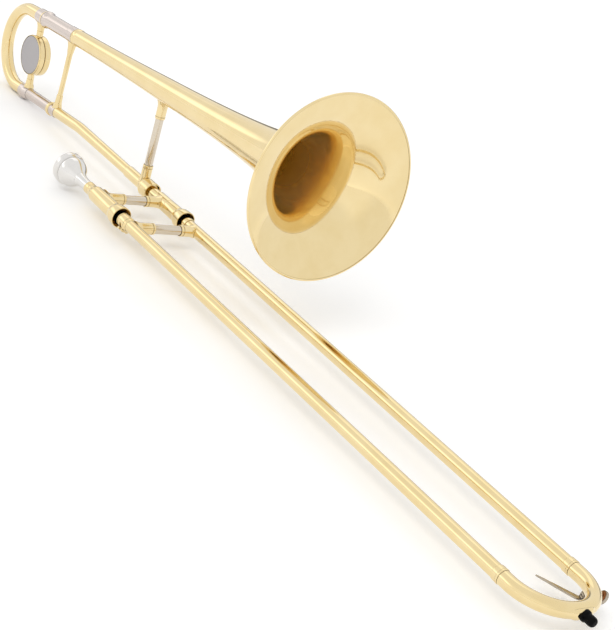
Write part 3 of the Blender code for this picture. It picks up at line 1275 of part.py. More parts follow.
def build_rear_brace():
    """Turned brass brace with a flared foot at each end, between the ferrules of the two legs."""
    top = Vector((REAR_BRACE_UPPER_STATION, 0, 0))
    bottom = Vector((REAR_BRACE_LOWER_STATION, 0, -leg_spacing))
    line = bottom - top
    length = line.length
    rotation = (0, math.atan2(-line.z, line.x), 0)
    over_leg = upper_leg_radius + SEAT_GAP
    step_radius = over_leg + STEP_FERRULE_WALL
    tail_bore = max(over_leg, bell_radius(TAIL_FERRULE_END) + SEAT_GAP)
    tail_radius = tail_bore + TAIL_FERRULE_WALL
    neck_radius = NECKPIPE_REAR_RADIUS + SEAT_GAP + NECK_FERRULE_WALL
    slim = REAR_BRACE_RADIUS
    profile = [
        (step_radius - 0.0030, 0.0), (step_radius - 0.0030, REAR_BRACE_TOP_RADIUS + 0.0014),
        (step_radius + 0.0006, REAR_BRACE_TOP_RADIUS + 0.0004),
        (step_radius + 0.0040, REAR_BRACE_TOP_RADIUS - 0.0004),
        (step_radius + 0.0124, REAR_BRACE_SOCKET_RADIUS), (step_radius + 0.0132, slim + 0.0003),
        (length * 0.60, slim), (length - 0.0222, slim), (length - 0.0218, REAR_BRACE_SOCKET_RADIUS),
        (length - 0.0160, REAR_BRACE_SOCKET_RADIUS + 0.0002),
        (length - neck_radius - 0.0040, REAR_BRACE_SOCKET_RADIUS + 0.0005),
        (length - neck_radius - 0.0006, REAR_BRACE_FOOT_RADIUS),
        (length - neck_radius + 0.0028, REAR_BRACE_FOOT_RADIUS + 0.0010),
        (length - neck_radius + 0.0028, 0.0)]
    brace = revolve("rear_brace", profile, BRASS, bell_axis, top, rotation, closed=False, sides=16)
    seam = TAIL_FERRULE_START - SEAT_GAP
    upper = revolve("rear_upper_cover", [
        (STEP_FERRULE_START - 0.01, 0.0), (STEP_FERRULE_START - 0.01, step_radius + SEAT_GAP),
        (seam - SEAT_GAP, step_radius + SEAT_GAP), (seam - SEAT_GAP, tail_radius + SEAT_GAP),
        (TAIL_FERRULE_END + 0.01, tail_radius + SEAT_GAP), (TAIL_FERRULE_END + 0.01, 0.0)],
                    None, bell_axis, closed=False, sides=24)
    lower = revolve("rear_lower_cover", [
        (NECK_BEAD_START, 0.0), (NECK_BEAD_START, NECK_BEAD_RADIUS + SEAT_GAP),
        (NECK_FERRULE_START, NECK_BEAD_RADIUS + SEAT_GAP), (NECK_FERRULE_START, neck_radius + SEAT_GAP),
        (NECK_FERRULE_END + SEAT_GAP, neck_radius + SEAT_GAP),
        (NECK_FERRULE_END + SEAT_GAP, NECKPIPE_REAR_RADIUS + SEAT_GAP),
        (NECK_FERRULE_END + 0.02, NECKPIPE_REAR_RADIUS + SEAT_GAP), (NECK_FERRULE_END + 0.02, 0.0)],
                    None, leg_axis, closed=False, sides=24)
    cut(brace, upper)
    cut(brace, lower)
    return brace


def build_bell_section():
    build_bell()
    build_rim_wire()
    upper_leg_pieces()
    lower_leg_pieces()
    build_neckpipe()
    build_slide_receiver()
    build_lock_nut()
    build_front_brace()
    build_rear_brace()


# Tuning slide

def build_crook():
    """Half-round crook with short straight ends that sit in the two ferrules."""
    radius = CROOK_RADIUS
    bore = radius - CROOK_WALL
    upper_end = UPPER_CROOK_FERRULE_START + CROOK_FERRULE_SEAT
    lower_end = LOWER_CROOK_FERRULE_START + CROOK_FERRULE_SEAT
    normal = Vector((0, 1, 0))
    centre = Vector((CROOK_CENTRE_STATION, 0, -crook_arc_radius))
    swell = 0.0003
    stations = []
    for x, extra in ((upper_end, swell), (UPPER_CROOK_FERRULE_START - 0.002, swell)):
        stations.append((Vector((x, 0, 0)), Vector((0, 0, 1)), normal, radius + extra, bore + extra))
    steps = 12
    for i in range(steps + 1):
        turn = math.radians(90) + math.pi * i / steps
        ray = Vector((math.cos(turn), 0, math.sin(turn)))
        stations.append((centre + ray * crook_arc_radius, ray, normal, radius, bore))
    stations.append((Vector((lower_end, 0, -leg_spacing)), Vector((0, 0, -1)), normal, radius, bore))
    return pipe("tuning_crook", stations, BRASS, bell_axis)


def lower_ferrule_outline():
    """Outside of the lower crook ferrule, which narrows to its leg, as (x, radius)."""
    start = LOWER_CROOK_FERRULE_START
    end = LOWER_LEG_START - SEAT_GAP
    radius = CROOK_FERRULE_RADIUS
    small = lower_leg_radius + 0.0006
    return [
        (start, radius - 0.0006), (start + 0.0012, radius), (end - 0.0082, radius + 0.0001),
        (end - 0.0045, (radius + small) / 2), (end - 0.0010, small), (end, small - 0.0004)]


def build_crook_ferrules():
    crook_bore = CROOK_RADIUS + 0.0003 + SEAT_GAP
    radius = CROOK_FERRULE_RADIUS
    seat = UPPER_CROOK_FERRULE_START + CROOK_FERRULE_SEAT + SEAT_GAP
    end = UPPER_LEG_START - SEAT_GAP - LEG_RING_LENGTH - SEAT_GAP
    leg_bore = UPPER_INNER_LEG_RADIUS + SEAT_GAP
    start = UPPER_CROOK_FERRULE_START
    revolve("crook_ferrule_upper", [
        (start, crook_bore), (start, radius - 0.0006), (start + 0.0012, radius), (end - 0.0004, radius),
        (end, radius - 0.0004), (end, leg_bore), (seat, leg_bore), (seat, crook_bore)],
            NICKEL, bell_axis)
    ring_start = end + SEAT_GAP
    ring = tube_profile(ring_start, UPPER_LEG_START - SEAT_GAP, leg_bore, leg_bore + LEG_RING_WALL,
                        0.0003)
    revolve("leg_ring_upper", ring, BRASS, bell_axis)
    start = LOWER_CROOK_FERRULE_START
    seat = start + CROOK_FERRULE_SEAT + SEAT_GAP
    end = LOWER_LEG_START - SEAT_GAP
    leg_bore = LOWER_INNER_LEG_RADIUS + SEAT_GAP
    revolve("crook_ferrule_lower", [(start, crook_bore)] + lower_ferrule_outline()
            + [(end, leg_bore), (seat, leg_bore), (seat, crook_bore)],
            NICKEL, leg_axis)


def build_inner_legs():
    start = UPPER_CROOK_FERRULE_START + CROOK_FERRULE_SEAT + 2 * SEAT_GAP
    bore = UPPER_INNER_LEG_RADIUS - UPPER_LEG_WALL
    revolve("inner_leg_upper", tube_profile(start, UPPER_LEG_START + UPPER_INSERTION, bore,
                                            UPPER_INNER_LEG_RADIUS), NICKEL, bell_axis)
    start = LOWER_CROOK_FERRULE_START + CROOK_FERRULE_SEAT + 2 * SEAT_GAP
    bore = LOWER_INNER_LEG_RADIUS - LOWER_LEG_WALL
    revolve("inner_leg_lower", tube_profile(start, LOWER_LEG_START + LOWER_INSERTION, bore,
                                            LOWER_INNER_LEG_RADIUS), NICKEL, leg_axis)


def build_counterweight():
    """Weight in two halves with a groove between them and a plate let into the left half."""
    half = DRUM_THICKNESS / 2
    radius = DRUM_RADIUS
    groove = DRUM_GROOVE
    recess = DISC_RADIUS + SEAT_GAP
    depth = DISC_THICKNESS + SEAT_GAP
    place = (DRUM_STATION, 0, -crook_arc_radius)
    seam = SEAT_GAP / 2
    left = [
        (seam, 0.0), (seam, radius - groove), (seam + groove, radius), (half - 0.0010, radius),
        (half, radius - 0.0008), (half, recess), (half - depth, recess), (half - depth, 0.0)]
    revolve("counterweight_left", left, BRASS, bell_axis, place, TO_MOUTHPIECE_SIDE, DRUM_SIDES, False)
    right = [
        (seam, 0.0), (seam, radius - groove), (seam + groove, radius), (half - 0.0016, radius),
        (half - 0.0004, radius - 0.0006), (half, radius - 0.0018), (half, 0.0)]
    revolve("counterweight_right", right, BRASS, bell_axis, place, TO_BELL_SIDE, DRUM_SIDES, False)
    disc = rod_profile(half - DISC_THICKNESS, half, DISC_RADIUS)
    revolve("counterweight_disc", disc, NICKEL, bell_axis, place, TO_MOUTHPIECE_SIDE, DRUM_SIDES, False)
    drum_space = rod_profile(-half - 0.002, half + 0.002, radius + SEAT_GAP)
    # Posts run from the crook's ferrules to the weight, each with a flared foot on its ferrule.
    for name, station, side in (("weight_post_upper", UPPER_POST_STATION, -1),
                                ("weight_post_lower", LOWER_POST_STATION, 1)):
        base = CROOK_FERRULE_RADIUS
        foot = POST_FOOT_RADIUS
        profile = [
            (base * 0.72, 0.0), (base * 0.72, foot + 0.0008), (base + 0.0006, foot),
            (base + 0.0024, POST_TOP_RADIUS),
            (crook_arc_radius - radius - 0.0010, POST_RADIUS), (crook_arc_radius - radius * 0.9, POST_RADIUS),
            (crook_arc_radius - radius * 0.9, 0.0)]
        origin = (station, 0, 0 if side < 0 else -leg_spacing)
        turn = (0, math.radians(90) * -side, 0)
        post = revolve(name, profile, BRASS, bell_axis, origin, turn, 16, False)
        gap = SEAT_GAP + 0.0001
        if side < 0:
            outline = [(station - 0.012, base + gap), (station + 0.012, base + gap)]
        else:
            outline = [(x, r + gap) for x, r in lower_ferrule_outline() if x < LOWER_LEG_START - 0.0007]
            outline.append((station + 0.012, outline[-1][1]))
        outline = [(outline[0][0], 0.0)] + outline + [(outline[-1][0], 0.0)]
        cover = revolve(name + "_cover", outline, None, bell_axis if side < 0 else leg_axis,
                        closed=False, sides=24)
        space = revolve(name + "_space", drum_space, None, bell_axis, place, TO_BELL_SIDE, 30, False)
        cut(post, cover)
        cut(post, space)


def build_tuning_slide():
    build_crook()
    build_crook_ferrules()
    build_inner_legs()
    build_counterweight()


def stand_on_origin():
    """Move the whole instrument so that its box stands centred on the origin."""
    bpy.context.view_layer.update()
    graph = bpy.context.evaluated_depsgraph_get()
    low = Vector((1e9, 1e9, 1e9))
    high = -low
    for obj in bpy.data.objects:
        if obj.type not in {"MESH", "CURVE"} or obj.hide_render:
            continue
        shape = obj.evaluated_get(graph)
        mesh = shape.to_mesh()
        for vertex in mesh.vertices:
            spot = shape.matrix_world @ vertex.co
            for axis in range(3):
                low[axis] = min(low[axis], spot[axis])
                high[axis] = max(high[axis], spot[axis])
        shape.to_mesh_clear()
    frame.location = (-(low.x + high.x) / 2, -(low.y + high.y) / 2, -low.z)
    print("slide frame sits at %.6f %.6f %.6f" % tuple(frame.location))


clear_scene()

BRASS = material("lacquered_brass", 214, 178, 112, 0.22, 1.0)
NICKEL = material("nickel_silver", 205, 197, 188, 0.24, 1.0)
SILVER = material("silver_plate", 214, 212, 208, 0.18, 1.0)
STEEL = material("spring_steel", 150, 150, 150, 0.35, 1.0)
CORK = material("cork", 139, 88, 52, 0.85, 0.0)
RUBBER = material("black_rubber", 24, 24, 25, 0.60, 0.0)

frame = empty("slide_frame")
mouthpiece_side = empty("mouthpiece_side", frame, (0, -SLIDE_SPACING, 0))
bell_lean = empty("bell_lean", frame, rotation=(BELL_LEAN, 0, 0))
bell_axis = empty("bell_axis", bell_lean, (0, 0, BELL_AXIS_HEIGHT), (0, -BELL_TILT, 0))
leg_axis = empty("leg_axis", bell_axis, (0, 0, -leg_spacing))

key_ray = Vector((math.cos(KEY_BOW_ANGLE), math.sin(KEY_BOW_ANGLE), 0))
key_tube = Vector((bow_centre_x, -bow_arc_radius, 0)) + key_ray * bow_arc_radius
key_hinge = key_tube - key_ray * KEY_HINGE_INSET - Vector((0, 0, KEY_HINGE_DROP))
key_turn = KEY_BOW_ANGLE - math.radians(90)
key_frame = empty("water_key_axis", frame, key_hinge, (0, 0, key_turn))
# A turned shape in these two frames runs from the tube's centre out through the nipple.
nipple_turn = Matrix.Rotation(KEY_BOW_ANGLE, 4, "Z") @ Matrix.Rotation(KEY_NIPPLE_TILT, 4, "Y")
nipple_frame = empty("nipple_axis", frame, key_tube, nipple_turn.to_euler())
cup_turn = Matrix.Rotation(math.radians(90), 4, "Z") @ Matrix.Rotation(KEY_NIPPLE_TILT, 4, "Y")
cup_frame = empty("cup_axis", key_frame, (0, KEY_HINGE_INSET, KEY_HINGE_DROP), cup_turn.to_euler())

build_inner_slide()
build_outer_slide()
build_bell_section()
build_tuning_slide()
stand_on_origin()
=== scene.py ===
import math

import bmesh
import bpy
from bpy.props import FloatProperty, FloatVectorProperty, IntProperty, PointerProperty
from mathutils import Matrix, Vector


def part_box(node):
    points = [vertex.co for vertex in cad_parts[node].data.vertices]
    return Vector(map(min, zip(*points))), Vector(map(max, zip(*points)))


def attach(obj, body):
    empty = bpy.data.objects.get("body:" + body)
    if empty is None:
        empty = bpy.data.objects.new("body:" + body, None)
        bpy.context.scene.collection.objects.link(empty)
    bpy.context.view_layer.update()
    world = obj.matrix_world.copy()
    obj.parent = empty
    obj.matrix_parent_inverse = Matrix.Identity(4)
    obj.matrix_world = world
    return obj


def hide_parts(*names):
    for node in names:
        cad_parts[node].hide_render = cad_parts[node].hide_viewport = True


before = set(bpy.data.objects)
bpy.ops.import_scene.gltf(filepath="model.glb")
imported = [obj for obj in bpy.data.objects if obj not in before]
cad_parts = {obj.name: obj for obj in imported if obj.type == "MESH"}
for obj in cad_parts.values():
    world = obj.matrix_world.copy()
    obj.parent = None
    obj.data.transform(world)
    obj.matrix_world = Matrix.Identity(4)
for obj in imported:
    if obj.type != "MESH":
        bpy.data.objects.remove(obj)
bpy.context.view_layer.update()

bl_info = {
    "name": "Tenor Trombone",
    "version": (1, 0, 0),
    "blender": (4, 5, 0),
    "location": "View3D > Sidebar > Trombone",
    "description": "Dresses a tenor trombone piece by piece over its packed model",
    "category": "Object",
}

# Sizes of the real pieces, in metres, as the packed model has them
SEAT = 0.0003
# Pieces that are soldered together meet without a gap here.
SOLDER = 0.0001
# Rings and tools stand this little off the tube that they are seated on.
PLAY = 0.00005
# Rounding of the finest edges, and how near points are merged, in a new mesh and after carving
FINE = 0.0001
MERGE = 1e-7
CARVED_MERGE = 2e-6
SLIDE_SPACING = 0.082
RECEIVER_START = -0.076
OUTER_TUBE_REACH = 0.6395
INNER_TUBE_REACH = 0.622
STOCKING_RADIUS = 0.0061
INNER_TUBE_RADIUS = 0.006
INNER_TUBE_BORE = 0.00565
OUTER_TUBE_RADIUS = 0.00675
OUTER_TUBE_BORE = 0.0064
OVER_OUTER_TUBE = OUTER_TUBE_RADIUS + SEAT
BRACE_RADIUS = 0.0052
SOCKET_RADIUS = 0.0062
FRONT_BRACE_RADIUS = 0.0047
FRONT_SOCKET_RADIUS = 0.0057
BARREL_LENGTH = 0.0165
SHEATH_WALL = 0.0005
UPPER_SHEATH_RADIUS = 0.0092
LOWER_SHEATH_RADIUS = 0.0088
T_COLLAR_RADIUS = 0.0086
T_STUB_LENGTH = 0.0165
BORE_FLOOR = 0.0012
INNER_BRACE_X = -0.0496
OUTER_BRACE_X = 0.023
BOW_STRAIGHT = 0.0097
BOW_RADIUS = 0.00705
GUARD_THICKNESS = 0.0008
BELL_AXIS_HEIGHT = 0.1215
BELL_LEAN = math.radians(2.18)
BELL_TILT = math.radians(5.04)
NECK_BEND_STATION = -0.26615
LEG_SPACING = (BELL_AXIS_HEIGHT + NECK_BEND_STATION * math.sin(BELL_TILT)) / math.cos(BELL_TILT)
BELL_TAIL_STATION = -0.3115
TAIL_TAPER = 0.008
TAIL_FERRULE_END = -0.3035
FLARE_START = -0.1
BELL_RIM_STATION = 0.215
# The throat's colour darkens as painted shade, in the tone of unlacquered brass, from this deep behind the rim, and it
# takes this much more to reach its full strength.
THROAT_DEPTH = 0.038
THROAT_FADE = 0.077
NUT_BACK = -0.09
NUT_MOUTH = -0.0745
RECEIVER_RADIUS = 0.0073
RECEIVER_BACK = -0.1323
NECKPIPE_FRONT = -0.1198
LOWER_LEG_END = -0.34
NECK_BEAD_START = -0.343
NECK_BEAD_RADIUS = 0.0088
NECK_FERRULE_START = -0.3372
NECK_FERRULE_END = -0.325
NECK_FERRULE_RADIUS = 0.0076
UPPER_LEG_RADIUS = 0.0092
STEP_RADIUS = UPPER_LEG_RADIUS + SEAT + 0.0004
LOWER_LEG_RADIUS = 0.0071
UPPER_INNER_LEG_RADIUS = 0.0084
LOWER_INNER_LEG_RADIUS = 0.0064
UPPER_LEG_START = -0.3915
LOWER_LEG_START = -0.4006
UPPER_CROOK_FERRULE_START = -0.41
LOWER_CROOK_FERRULE_START = -0.4195
CROOK_FERRULE_RADIUS = 0.0094
CROOK_CENTRE_STATION = -0.4337
CROOK_RADIUS = 0.00782
DRUM_STATION = -0.4045
DRUM_RADIUS = 0.025
DRUM_THICKNESS = 0.0165
KEY_BOW_ANGLE = math.radians(60)
KEY_HINGE_INSET = 0.003
KEY_HINGE_DROP = 0.0107
KEY_NIPPLE_TILT = math.radians(20)
NIPPLE_HEIGHT = 0.0026
KEY_CORK_THICKNESS = 0.0029
KEY_DRAIN_RADIUS = 0.0015
LOCK_START = 0.0045
LOCK_LUG_ANGLE = math.radians(-115)
LOCK_THROW = math.radians(40)

# Degrees past which an edge is shaded as an edge, and the strength of the white room that metal mirrors
SHARP = 32.0
ROOM_STRENGTH = 0.96

# Where the photograph was taken from: the camera's axes and its place from the slide's frame
CAMERA_RIGHT = Vector((0.54528027, 0.77699961, 0.31454894))
CAMERA_DOWN = Vector((0.48030479, 0.01793181, -0.87691833))
CAMERA_FORWARD = Vector((-0.68700563, 0.62924563, -0.36341878))
CAMERA_PLACE = Vector((1.3271961, -0.9997034, 0.5913032))
CAMERA_LENS = 92.0757

# Frames of the pieces: a turned shape runs along its own X axis
slide_low, slide_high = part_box("outer_slide_tube_lower")
SLIDE = Matrix.Translation((slide_high.x - OUTER_TUBE_REACH, (slide_low.y + slide_high.y) / 2,
                            (slide_low.z + slide_high.z) / 2))
MOUTH = SLIDE @ Matrix.Translation((0, -SLIDE_SPACING, 0))
LEAN = SLIDE @ Matrix.Rotation(BELL_LEAN, 4, "X")
BELL = LEAN @ Matrix.Translation((0, 0, BELL_AXIS_HEIGHT)) @ Matrix.Rotation(-BELL_TILT, 4, "Y")
LEG = BELL @ Matrix.Translation((0, 0, -LEG_SPACING))
BOW_CENTRE = Vector((OUTER_TUBE_REACH + BOW_STRAIGHT, -SLIDE_SPACING / 2, 0))
BOW_ARC = SLIDE_SPACING / 2
CROOK_ARC = LEG_SPACING / 2
KEY_RAY = Vector((math.cos(KEY_BOW_ANGLE), math.sin(KEY_BOW_ANGLE), 0))
KEY_TUBE = BOW_CENTRE + KEY_RAY * BOW_ARC
KEY_HINGE = KEY_TUBE - KEY_RAY * KEY_HINGE_INSET - Vector((0, 0, KEY_HINGE_DROP))
KEY = SLIDE @ Matrix.Translation(KEY_HINGE) @ Matrix.Rotation(KEY_BOW_ANGLE - math.pi / 2, 4, "Z")
NIPPLE = (SLIDE @ Matrix.Translation(KEY_TUBE) @ Matrix.Rotation(KEY_BOW_ANGLE, 4, "Z")
          @ Matrix.Rotation(KEY_NIPPLE_TILT, 4, "Y"))
CUP = (KEY @ Matrix.Translation((0, KEY_HINGE_INSET, KEY_HINGE_DROP)) @ Matrix.Rotation(math.pi / 2, 4, "Z")
       @ Matrix.Rotation(KEY_NIPPLE_TILT, 4, "Y"))
TO_BELL_SIDE = Matrix.Rotation(math.pi / 2, 4, "Z")
TO_MOUTHPIECE_SIDE = Matrix.Rotation(-math.pi / 2, 4, "Z")
BARRELS = (("upper", UPPER_SHEATH_RADIUS, MOUTH), ("lower", LOWER_SHEATH_RADIUS, SLIDE))


# Settings a user would change

class BellSizes(bpy.types.PropertyGroup):
    """Sizes of the bell"""
    rim_radius: FloatProperty(name="Rim Radius", description="Radius of the bell at its rim", default=0.09685,
                              min=0.08, max=0.12, unit="LENGTH", precision=4)
    flare_scale: FloatProperty(name="Flare Scale", description="Length that sets how late the bell opens",
                               default=0.0124, min=0.005, max=0.04, unit="LENGTH", precision=4)
    flare_power: FloatProperty(name="Flare Power", description="Power of the flare's curve", default=0.6,
                               min=0.4, max=0.9)
    tail_radius: FloatProperty(name="Tail Radius", description="Radius of the bell where it meets its leg",
                               default=0.0094, min=0.007, max=0.012, unit="LENGTH", precision=4)
    sheet: FloatProperty(name="Sheet", description="Thickness of the brass sheet", default=0.0006,
                         min=0.0003, max=0.001, unit="LENGTH", precision=4)
    wire_radius: FloatProperty(name="Wire Radius", description="Radius of the wire inside the rolled rim",
                               default=0.001, min=0.0005, max=0.002, unit="LENGTH", precision=4)
    rings: IntProperty(name="Rings", description="Rings of points along the bell", default=150, min=40, max=400)
    sides: IntProperty(name="Sides", description="Points around the bell", default=192, min=48, max=384)


class TubeSizes(bpy.types.PropertyGroup):
    """Sizes and smoothness of the tubes"""
    sides: IntProperty(name="Tube Sides", description="Points around each tube", default=64, min=24, max=128)
    turned_sides: IntProperty(name="Turned Sides", description="Points around each turned piece", default=80,
                              min=32, max=160)
    edge: FloatProperty(name="Edge Rounding", description="Size of the small rounding on turned edges",
                        default=0.00022, min=0.0, max=0.0006, unit="LENGTH", precision=5)
    bow_steps: IntProperty(name="Bow Steps", description="Stations round the hand slide's bow", default=48,
                           min=12, max=120)
    crook_steps: IntProperty(name="Crook Steps", description="Stations round the tuning crook", default=64,
                             min=12, max=120)


# What every colour property shares
COLOUR_FIELD = {"subtype": "COLOR_GAMMA", "size": 3, "min": 0, "max": 1}


class Finishes(bpy.types.PropertyGroup):
    """Colours of the finishes, as they are seen"""
    brass: FloatVectorProperty(name="Brass", description="Colour of the lacquered brass",
                               default=(0.935, 0.852, 0.655), **COLOUR_FIELD)
    brass_warm: FloatVectorProperty(name="Warm Brass", description="Warmer tint in the lacquer",
                                    default=(0.915, 0.822, 0.605), **COLOUR_FIELD)
    nickel: FloatVectorProperty(name="Nickel Silver", description="Colour of the nickel silver tubes",
                                default=(0.865, 0.82, 0.79), **COLOUR_FIELD)
    nickel_brace: FloatVectorProperty(name="Brace Nickel", description="Colour of the nickel silver braces",
                                      default=(0.87, 0.825, 0.755), **COLOUR_FIELD)
    steel_plate: FloatVectorProperty(name="Weight Face", description="Colour of the weight's steel face",
                                     default=(0.71, 0.695, 0.695), **COLOUR_FIELD)
    silver: FloatVectorProperty(name="Silver", description="Colour of the plated mouthpiece",
                                default=(0.925, 0.915, 0.9), **COLOUR_FIELD)
    cork: FloatVectorProperty(name="Cork", description="Colour of the corks", default=(0.6, 0.38, 0.22), **COLOUR_FIELD)
    rubber: FloatVectorProperty(name="Rubber", description="Colour of the bumper",
                                default=(0.02, 0.02, 0.022), **COLOUR_FIELD)


class StageSettings(bpy.types.PropertyGroup):
    """Floor and light"""
    floor: FloatVectorProperty(name="Floor", description="Colour of the floor", default=(1.0, 1.0, 1.0), **COLOUR_FIELD)
    floor_lift: FloatProperty(name="Floor Lift", description="White added to the floor that eye and metal see",
                              default=0.075, min=0, max=0.5)
    sky: FloatProperty(name="Sky", description="Strength of the light from all round", default=0.8, min=0, max=2)
    key: FloatProperty(name="Key Light", description="Power of the large soft lamp", default=18.0, min=0,
                       max=300, unit="POWER")
    fill: FloatProperty(name="Fill Light", description="Power of the soft lamp on the other side", default=6.0,
                        min=0, max=300, unit="POWER")
    curtain: FloatProperty(name="Curtain", description="How dark the far curtain is that the tubes mirror",
                           default=0.78, min=0, max=1)


# Node and material helpers

def add(tree, kind, values=None, links=None, **settings):
    """Add a node with its settings, input values and links."""
    node = tree.nodes.new(kind)
    for name, value in settings.items():
        setattr(node, name, value)
    for name, value in (values or {}).items():
        node.inputs[name].default_value = value
    for name, source in (links or {}).items():
        tree.links.new(source, node.inputs[name])
    return node


def linear(value):
    """One channel from sRGB to linear."""
    return value / 12.92 if value <= 0.04045 else ((value + 0.055) / 1.055) ** 2.4


def colour(values):
    """An sRGB hex string or three sRGB values, as linear red, green, blue, alpha."""
    if isinstance(values, str):
        values = [int(values[i:i + 2], 16) / 255 for i in (1, 3, 5)]
    return (*[linear(v) for v in values], 1.0)


def new_material(name):
    """An empty node material with its Principled shader."""
    mat = bpy.data.materials.new(name)
    mat.use_nodes = True
    tree = mat.node_tree
    tree.nodes.clear()
    shader = add(tree, "ShaderNodeBsdfPrincipled")
    add(tree, "ShaderNodeOutputMaterial", links={"Surface": shader.outputs["BSDF"]})
    return mat, tree, shader


def worked_metal(tree, shader, turn, grain, detail, roughness):
    """Metal with its pattern turned to the piece: the place to read, and marks drawn out the way it was worked."""
    shader.inputs["Metallic"].default_value = 1.0
    place = add(tree, "ShaderNodeTexCoord")
    turned_place = add(tree, "ShaderNodeMapping", values={"Rotation": turn}, links={"Vector": place.outputs["Object"]})
    stretched = add(tree, "ShaderNodeMapping", values={"Scale": grain}, links={"Vector": turned_place.outputs[0]})
    marks = add(tree, "ShaderNodeTexNoise", values={"Scale": 1.0, "Detail": detail, "Roughness": roughness},
                links={"Vector": stretched.outputs[0]})
    return turned_place.outputs[0], marks.outputs[0]


def tarnish_and_painted_shade(tree, tint, dark, reach=0.0015, shaded_at=0.25, open_at=0.8):
    """Colour darkened in joints and grooves, where another face is within reach: painted shade from ambient occlusion,
    with tarnish.
    """
    # Painted shade: ambient occlusion darkens the colour towards dark wherever another face is near, standing also for
    # tarnish
    near = add(tree, "ShaderNodeAmbientOcclusion", samples=6, values={"Distance": reach})
    unshaded = add(tree, "ShaderNodeMapRange", values={"From Min": shaded_at, "From Max": open_at},
               links={"Value": near.outputs["AO"]})
    return add(tree, "ShaderNodeMix", data_type="RGBA", values={6: colour(dark)},
               links={0: unshaded.outputs[0], 7: tint.outputs[2]})


def finish_shader(tree, shader, tint, rough=None, height=None, strength=0.0, depth=0.0):
    """Link the shader's colour and, where the finish has them, its roughness and relief."""
    tree.links.new(tint.outputs[2], shader.inputs["Base Color"])
    if rough:
        tree.links.new(rough.outputs[0], shader.inputs["Roughness"])
    if height:
        bump = add(tree, "ShaderNodeBump", values={"Strength": strength, "Distance": depth},
                   links={"Height": height})
        tree.links.new(bump.outputs[0], shader.inputs["Normal"])


def brass_finish(tree, shader, turn, grain, rough, throat=False):
    """Yellow brass, buffed and clear-lacquered: soft mottling in the colour, faint buffing lines,
    and a glossy coat that gives the second, sharper reflection. Joints and grooves darken as painted
    shade, with tarnish. grain stretches the lines, and throat says that the piece has the attribute
    "inside", by which the colour darkens down the throat as painted shade."""
    looks = bpy.context.scene.trombone_finishes
    shader.inputs["Coat Weight"].default_value = 0.35
    shader.inputs["Coat Roughness"].default_value = 0.05
    # Buffing lines; real ones are finer than a tenth of a millimetre, drawn at half a millimetre to show
    place, lines = worked_metal(tree, shader, turn, grain, 4.0, 0.6)
    # Mottling of the lacquer, patches about 25 mm across
    patches = add(tree, "ShaderNodeTexNoise", values={"Scale": 40.0, "Detail": 3.0, "Roughness": 0.55},
                  links={"Vector": place})
    soft = add(tree, "ShaderNodeMapRange", values={"From Min": 0.35, "From Max": 0.68, "To Max": 0.7},
               links={"Value": patches.outputs[0]})
    tint = add(tree, "ShaderNodeMix", data_type="RGBA",
               values={6: colour(looks.brass), 7: colour(looks.brass_warm)}, links={0: soft.outputs[0]})
    # Fingers and cloths leave the coat a little duller in places
    smudges = add(tree, "ShaderNodeTexNoise", values={"Scale": 75.0, "Detail": 2.0}, links={"Vector": place})
    dull = add(tree, "ShaderNodeMapRange", links={"Value": smudges.outputs[0]},
               values={"From Min": 0.45, "From Max": 0.75, "To Min": rough, "To Max": rough + 0.04})
    spread = add(tree, "ShaderNodeMapRange", links={"Value": lines},
                 values={"From Min": 0.3, "From Max": 0.7, "To Min": -0.01, "To Max": 0.015})
    uneven = add(tree, "ShaderNodeMath", operation="ADD", links={0: dull.outputs[0], 1: spread.outputs[0]})
    if throat:
        # Deep in the bell the colour turns browner and darker, duller and partly diffuse: painted shade of the throat,
        # in the tone of unlacquered brass
        inside = add(tree, "ShaderNodeAttribute", attribute_name="inside").outputs["Fac"]
        tint = add(tree, "ShaderNodeMix", data_type="RGBA", values={7: colour(THROAT_SHADE_BRASS)},
                   links={0: inside, 6: tint.outputs[2]})
        uneven = add(tree, "ShaderNodeMath", operation="MULTIPLY_ADD", values={1: 0.25},
                     links={0: inside, 2: uneven.outputs[0]})
        sound = add(tree, "ShaderNodeMath", operation="MULTIPLY_ADD", values={1: -0.5, 2: 1.0}, links={0: inside})
        tree.links.new(sound.outputs[0], shader.inputs["Metallic"])
    # Joints and grooves darken to this brown: painted shade, with tarnish
    finish_shader(tree, shader, tarnish_and_painted_shade(tree, tint, "#5a3d12"), uneven, lines, 0.1, 0.00004)


def nickel_finish(tree, shader, turn, grain, rough, tone, shade=1.0):
    """Nickel silver or steel, drawn, ground or forged: a grey metal with fine lines, in the colour
    of this name times shade; a shade below 1 is painted shade. Joints and grooves darken as
    painted shade, with tarnish."""
    base = [v * shade for v in getattr(bpy.context.scene.trombone_finishes, tone)]
    _, lines = worked_metal(tree, shader, turn, grain, 5.0, 0.62)
    # Draw marks lie a millimetre and a half apart, so that they can be seen from the camera
    marks = add(tree, "ShaderNodeMapRange", values={"From Min": 0.3, "From Max": 0.62}, links={"Value": lines})
    tint = add(tree, "ShaderNodeMix", data_type="RGBA",
               values={6: colour([v - 0.06 for v in base]), 7: colour(base)}, links={0: marks.outputs[0]})
    worn = add(tree, "ShaderNodeMapRange", links={"Value": lines},
               values={"From Min": 0.3, "From Max": 0.7, "To Min": rough - 0.03, "To Max": rough + 0.06})
    # Joints and grooves darken to this grey-brown: painted shade, with tarnish
    finish_shader(tree, shader, tarnish_and_painted_shade(tree, tint, "#4c4236"), worn, lines, 0.14, 0.00004)


